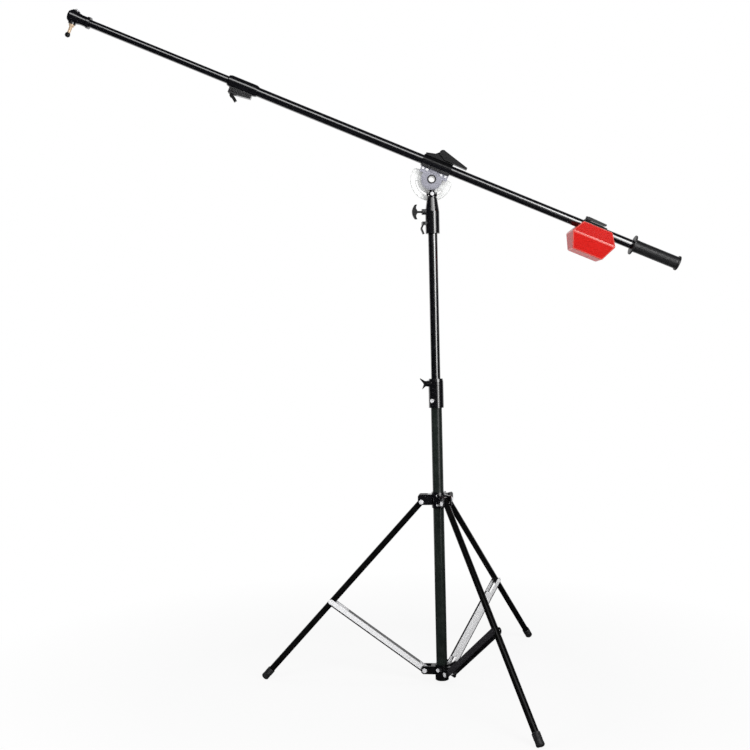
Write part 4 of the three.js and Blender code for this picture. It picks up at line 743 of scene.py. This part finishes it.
def make_set_screws():
    """Two small screws in the upper hub's front."""
    radius = column.span("base_tube")[2] + HUB_WALL
    low, high, _ = column.span("upper_hub")
    outward = Vector((math.cos(SET_SCREW_AZIMUTH), math.sin(SET_SCREW_AZIMUTH), 0))
    shank = SET_SCREW_R * SHANK_SHARE
    for i, share in enumerate(SET_SCREW_SHARES):
        height = Vector((0, 0, low + (high - low) * share))
        line = Line(column.origin + height + outward * radius, -outward)
        bm = bmesh.new()
        lathe(bm, line, socket_head(
            -SET_SCREW_HEAD, SET_SCREW_HEAD, SET_SCREW_R, shank, SET_SCREW_HEAD,
        ))
        name = f"hub_set_screw_{i + 1}"
        finished(name, bm, STEEL, body_of("upper_hub"))


# Collars
def make_collars():
    """The column's two collars, their knobs and the hook lever."""
    refined("mid_collar", CAST, COLLAR_EDGE)
    refined("top_collar", CAST, COLLAR_EDGE)
    column_screw("mid_collar_screw")
    for node in ("mid_collar_knob", "top_collar_knob"):
        refined(node, SATIN, KNOB_EDGE, ROUND_STEPS)
    refined("top_collar_lever", SATIN, LEVER_EDGE, ROUND_STEPS)


# Swivel neck, tilt disc and angle plate
def make_scale():
    """Degree marks round the lower half of the tilt disc."""
    spot = place_of("boom_tilt")
    line = Line(spot, (0, -1, 0))
    face = line.span("pivot_disc")[1] - DISC_PAD
    rim = DISC_R - TICK_INSET
    bm = bmesh.new()
    tilt = math.atan2(boom.along.z, boom.along.x)
    for i, degrees in enumerate(range(-TICK_REACH, TICK_REACH + 1, TICK_STEP)):
        long = i % TICK_LONG_EVERY == TICK_LONG_FIRST
        length = TICK_LONG if long else TICK_SHORT
        angle = math.radians(degrees) + tilt
        outward = Vector((math.sin(angle), 0, -math.cos(angle)))
        across = Vector((outward.z, 0, -outward.x))
        ring = []
        for reach, half in ((rim, -1), (rim, 1), (rim - length, 1), (rim - length, -1)):
            ring.append(spot + outward * reach + across * half * TICK_WIDE / 2)
        layers = []
        for depth in (face + TICK_PROUD, face - TICK_PROUD):
            layers.append([bm.verts.new(p + line.along * depth) for p in ring])
        bm.faces.new(layers[0])
        bm.faces.new(layers[1])
        for k, first in enumerate(layers[0]):
            n = (k + 1) % len(ring)
            bm.faces.new((first, layers[0][n], layers[1][n], layers[1][k]))
    finished("disc_scale", bm, INK, body_of("pivot_disc"))


def make_pivot():
    """Neck, tilt stud, disc, angle plate and bush."""
    refined("swivel_neck", CAST, CAST_EDGE)
    screw("neck_screw", Line(middle("neck_screw"), (1, 0, 0)), NECK_SCREW_HEAD, CAST)
    refined("tilt_stud", STEEL, SMALL_EDGE)
    # The disc's rounded edges carry painted shade
    refined("pivot_disc", DIAL, PLATE_EDGE, rim=DARK_PAINTED_SHADE)
    # The plate's rounded edges carry painted shade
    refined("angle_plate", PALE, PLATE_EDGE, rim=GREY_PAINTED_SHADE)
    refined("pivot_bush", CAST, SMALL_EDGE)
    make_scale()


# Boom clamp
def make_clamp():
    """The clamp's saddle, cap and lever, its hinge pin and the disc's screws."""
    refined("clamp_saddle", CAST, PLATE_EDGE)
    refined("clamp_cap", SATIN, PLATE_EDGE)
    refined("clamp_lever", SATIN, LEVER_EDGE, ROUND_STEPS)
    pin = Line(middle("clamp_hinge_pin"), boom.along)
    low, high, radius = pin.span("clamp_hinge_pin")
    points = softened([(low, 0), (low, radius), (high, radius), (high, 0)], PIN_EDGE)
    turned("clamp_hinge_pin", pin, points, STEEL)
    for i in range(DISC_SCREWS):
        node = f"disc_screw_{i + 1}"
        screw(node, Line(middle(node), (0, 1, 0)), DISC_SCREW_HEAD)


# Boom, its lock and its head
def make_boom():
    """The boom's tubes, the plug between them and the lock."""
    tube("boom_rear_tube", boom, GLOSS)
    tube("boom_front_tube", boom, GLOSS)
    painted("front_tube_plug", PLASTIC)
    refined("boom_lock", CAST, CAST_EDGE)
    refined("boom_lock_lever", SATIN, CAST_EDGE)


def make_head():
    """The head, its screw and the spigot with its end."""
    refined("head_block", CAST, CAST_EDGE)
    screw("head_screw", Line(middle("head_screw"), -boom_up), HEAD_SCREW_HEAD)
    spigot = Line(middle("spigot"), -boom_up)
    low, high, radius = spigot.span("spigot")
    points = softened([
        (low, 0),
        (low, radius),
        (high - SPIGOT_SHAFT - SPIGOT_CONE, radius),
        (high - SPIGOT_SHAFT, SPIGOT_SHAFT_R),
        (high, SPIGOT_SHAFT_R),
        (high, 0),
    ], SPIGOT_EDGE)
    turned("spigot", spigot, points, BRASS)
    refined("spigot_end", SATIN, PLATE_EDGE)


# Counterweight
def make_weight():
    """The weight with its edges painted pale as a highlight, its clamp and its lever."""
    refined("counterweight", RED, WEIGHT_EDGE, ROUND_STEPS, RED_PAINTED_HIGHLIGHT)
    refined("weight_clamp", SATIN, PLATE_EDGE)
    refined("weight_lever", SATIN, WEIGHT_LEVER_EDGE, ROUND_STEPS)


# Grip
def make_grip():
    """The ribbed rubber grip with its guard, and the boom's end plug."""
    low, high, radius = boom.span("grip")
    tube_radius = boom.span("boom_rear_tube")[2]
    ribs_from = low + GUARD + GRIP_COLLAR + GRIP_PLAIN_FRONT
    ribs_to = high - GRIP_END - GRIP_PLAIN_BACK
    points = [
        (low, tube_radius),
        (low, radius),
        (low + GUARD, radius),
        (low + GUARD, GRIP_COLLAR_R),
        (low + GUARD + GRIP_COLLAR, GRIP_COLLAR_R),
        (low + GUARD + GRIP_COLLAR, GRIP_R),
    ]
    step = (ribs_to - ribs_from) / GRIP_RIBS
    for i in range(GRIP_RIBS):
        for share, deep in GRIP_GROOVE_SHARES:
            points.append((ribs_from + step * (i + share), GRIP_R - GRIP_RIB_DEEP * deep))
    points += [
        (high - GRIP_END, GRIP_R),
        (high - GRIP_END, GRIP_END_R),
        (high, GRIP_END_R),
        (high, tube_radius),
    ]
    turned("grip", boom, softened(points, GRIP_EDGE), RUBBER, TUBE_SIDES)
    refined("boom_end_plug", PLASTIC, PLUG_EDGE, ROUND_STEPS)


# Floor, lights and camera
def seen(tree):
    """1 for a ray from the camera, a reflection or a pane, otherwise 0."""
    path = tree.nodes.new("ShaderNodeLightPath")
    total = path.outputs["Is Camera Ray"]
    for name in ("Is Glossy Ray", "Is Transmission Ray"):
        total = worked(tree, "MAXIMUM", total, path.outputs[name])
    return total


def make_floor():
    """A white floor that shows its shadows near the stand only."""
    mesh = bpy.data.meshes.new("floor")
    half = FLOOR_HALF
    corners = [(-half, -half, 0), (half, -half, 0), (half, half, 0), (-half, half, 0)]
    mesh.from_pydata(corners, [], [(0, 1, 2, 3)])
    floor = linked("floor", mesh)
    floor.location.z = -FLOOR_DROP
    made, tree, bsdf = shader("pale_floor")
    bsdf.inputs["Base Color"].default_value = FLOOR_COLOUR
    bsdf.inputs["Roughness"].default_value = FLOOR_ROUGH
    bsdf.inputs["Specular IOR Level"].default_value = FLOOR_SPECULAR
    glow = tree.nodes.new("ShaderNodeEmission")
    glow.inputs["Color"].default_value = (1, 1, 1, 1)
    spot = tree.nodes.new("ShaderNodeTexCoord")
    far = tree.nodes.new("ShaderNodeVectorMath")
    far.operation = "LENGTH"
    tree.links.new(spot.outputs["Object"], far.inputs[0])
    fade = ranged(tree, far.outputs["Value"], FLOOR_GLOW, 1, FLOOR_NEAR, FLOOR_FAR)
    share = worked(tree, "MULTIPLY", fade, seen(tree))
    shown(tree, share, bsdf.outputs["BSDF"], glow.outputs["Emission"])
    mesh.materials.append(made)


def make_drapes():
    """A dark room that is open at the back: only reflections show it."""
    side, front, back, top, low = DRAPE_SIDE, DRAPE_FRONT, DRAPE_BACK, DRAPE_TOP, DRAPE_LOW
    points = [(x, y, z) for z in (low, top) for y in (front, back) for x in (-side, side)]
    points += [(x, DRAPE_CLOTH_BACK, low) for x in (-side, side)]
    faces = [(0, 1, 5, 4), (0, 4, 6, 2), (1, 3, 7, 5), (4, 5, 7, 6), (0, 8, 9, 1)]
    mesh = bpy.data.meshes.new("dark_drapes")
    mesh.from_pydata(points, [], faces)
    drapes = linked("dark_drapes", mesh)
    drapes.visible_diffuse = False
    drapes.visible_shadow = False
    made, tree, bsdf = shader("dark_cloth")
    bsdf.inputs["Base Color"].default_value = DRAPE_COLOUR
    bsdf.inputs["Roughness"].default_value = 1.0
    bsdf.inputs["Specular IOR Level"].default_value = 0.0
    path = tree.nodes.new("ShaderNodeLightPath")
    clear = tree.nodes.new("ShaderNodeBsdfTransparent")
    shown(tree, path.outputs["Is Camera Ray"], bsdf.outputs["BSDF"], clear.outputs["BSDF"])
    mesh.materials.append(made)


def make_world():
    """A white world that gives little light."""
    world = bpy.data.worlds.new("studio")
    bpy.context.scene.world = world
    world.use_nodes = True
    tree = world.node_tree
    back = tree.nodes["Background"]
    back.inputs["Color"].default_value = (1, 1, 1, 1)
    strength = ranged(tree, seen(tree), WORLD_LEVEL, 1, 0, 1)
    tree.links.new(strength, back.inputs["Strength"])


def lamp(name, place, aim, along, size, tall, power, reflected=True):
    """A soft rectangular lamp aimed at a point, its long side in a given direction."""
    light = bpy.data.lights.new(name, "AREA")
    light.shape = "RECTANGLE"
    light.size = size
    light.size_y = tall
    light.energy = power
    back = (Vector(place) - Vector(aim)).normalized()
    side = Vector(along).cross(back).normalized()
    long = back.cross(side)
    made = linked(name, light)
    turn = Matrix((side, long, back)).transposed().to_4x4()
    made.matrix_world = Matrix.Translation(Vector(place)) @ turn
    made.visible_glossy = reflected


def aside(turn):
    """A level direction, turned to the right from the front."""
    return Vector((math.sin(turn), -math.cos(turn), 0))


def make_lamps():
    """Two strips for the bands of light, and two soft lamps."""
    front = Vector((0, -1, 0))
    away = front * math.cos(BOOM_STRIP_RISE) + boom_up * math.sin(BOOM_STRIP_RISE)
    lamp(
        "boom_strip", boom.origin + away * BOOM_STRIP_AWAY, boom.origin, boom.along,
        STRIP_WIDE, BOOM_STRIP_LONG, BOOM_STRIP_POWER,
    )
    middle_of_stand = column.origin + Vector((0, 0, VIEW_HEIGHT))
    place = middle_of_stand + aside(COLUMN_STRIP_TURN) * COLUMN_STRIP_AWAY
    lamp(
        "column_strip", place, middle_of_stand, (0, 0, 1),
        STRIP_WIDE, COLUMN_STRIP_LONG, COLUMN_STRIP_POWER,
    )
    lamp(
        "top", TOP_LAMP, (0, 0, VIEW_HEIGHT), (1, 0, 0),
        TOP_LAMP_WIDE, TOP_LAMP_LONG, TOP_LAMP_POWER, reflected=False,
    )
    middle_of_tripod = column.origin + Vector((0, 0, FILL_HEIGHT))
    place = middle_of_tripod + aside(FILL_TURN) * FILL_AWAY
    lamp(
        "tripod_fill", place, middle_of_tripod, (0, 0, 1),
        FILL_WIDE, FILL_LONG, FILL_POWER, reflected=False,
    )


def make_camera():
    """The photograph's camera."""
    azimuth, elevation, roll = map(math.radians, (VIEW_AZIMUTH, VIEW_ELEVATION, VIEW_ROLL))
    back = Vector((
        math.sin(azimuth) * math.cos(elevation),
        -math.cos(azimuth) * math.cos(elevation),
        math.sin(elevation),
    ))
    right = (-back).cross(Vector((0, 0, 1))).normalized()
    up = right.cross(-back)
    rolled = right * math.cos(roll) + up * math.sin(roll)
    upright = up * math.cos(roll) - right * math.sin(roll)
    target = column.origin + Vector((VIEW_ASIDE, 0, VIEW_HEIGHT))
    data = bpy.data.cameras.new("camera")
    data.sensor_width = SENSOR
    data.lens = SENSOR * FOCAL_SHARE
    camera = linked("camera", data)
    turn = Matrix((rolled, upright, back)).transposed().to_4x4()
    camera.matrix_world = Matrix.Translation(target + back * VIEW_DISTANCE) @ turn
    bpy.context.scene.camera = camera


make_column()
make_tripod()
make_set_screws()
make_collars()
make_pivot()
make_clamp()
make_boom()
make_head()
make_weight()
make_grip()

make_floor()
make_drapes()
make_world()
make_lamps()
make_camera()

bpy.context.scene.view_settings.view_transform = "Standard"
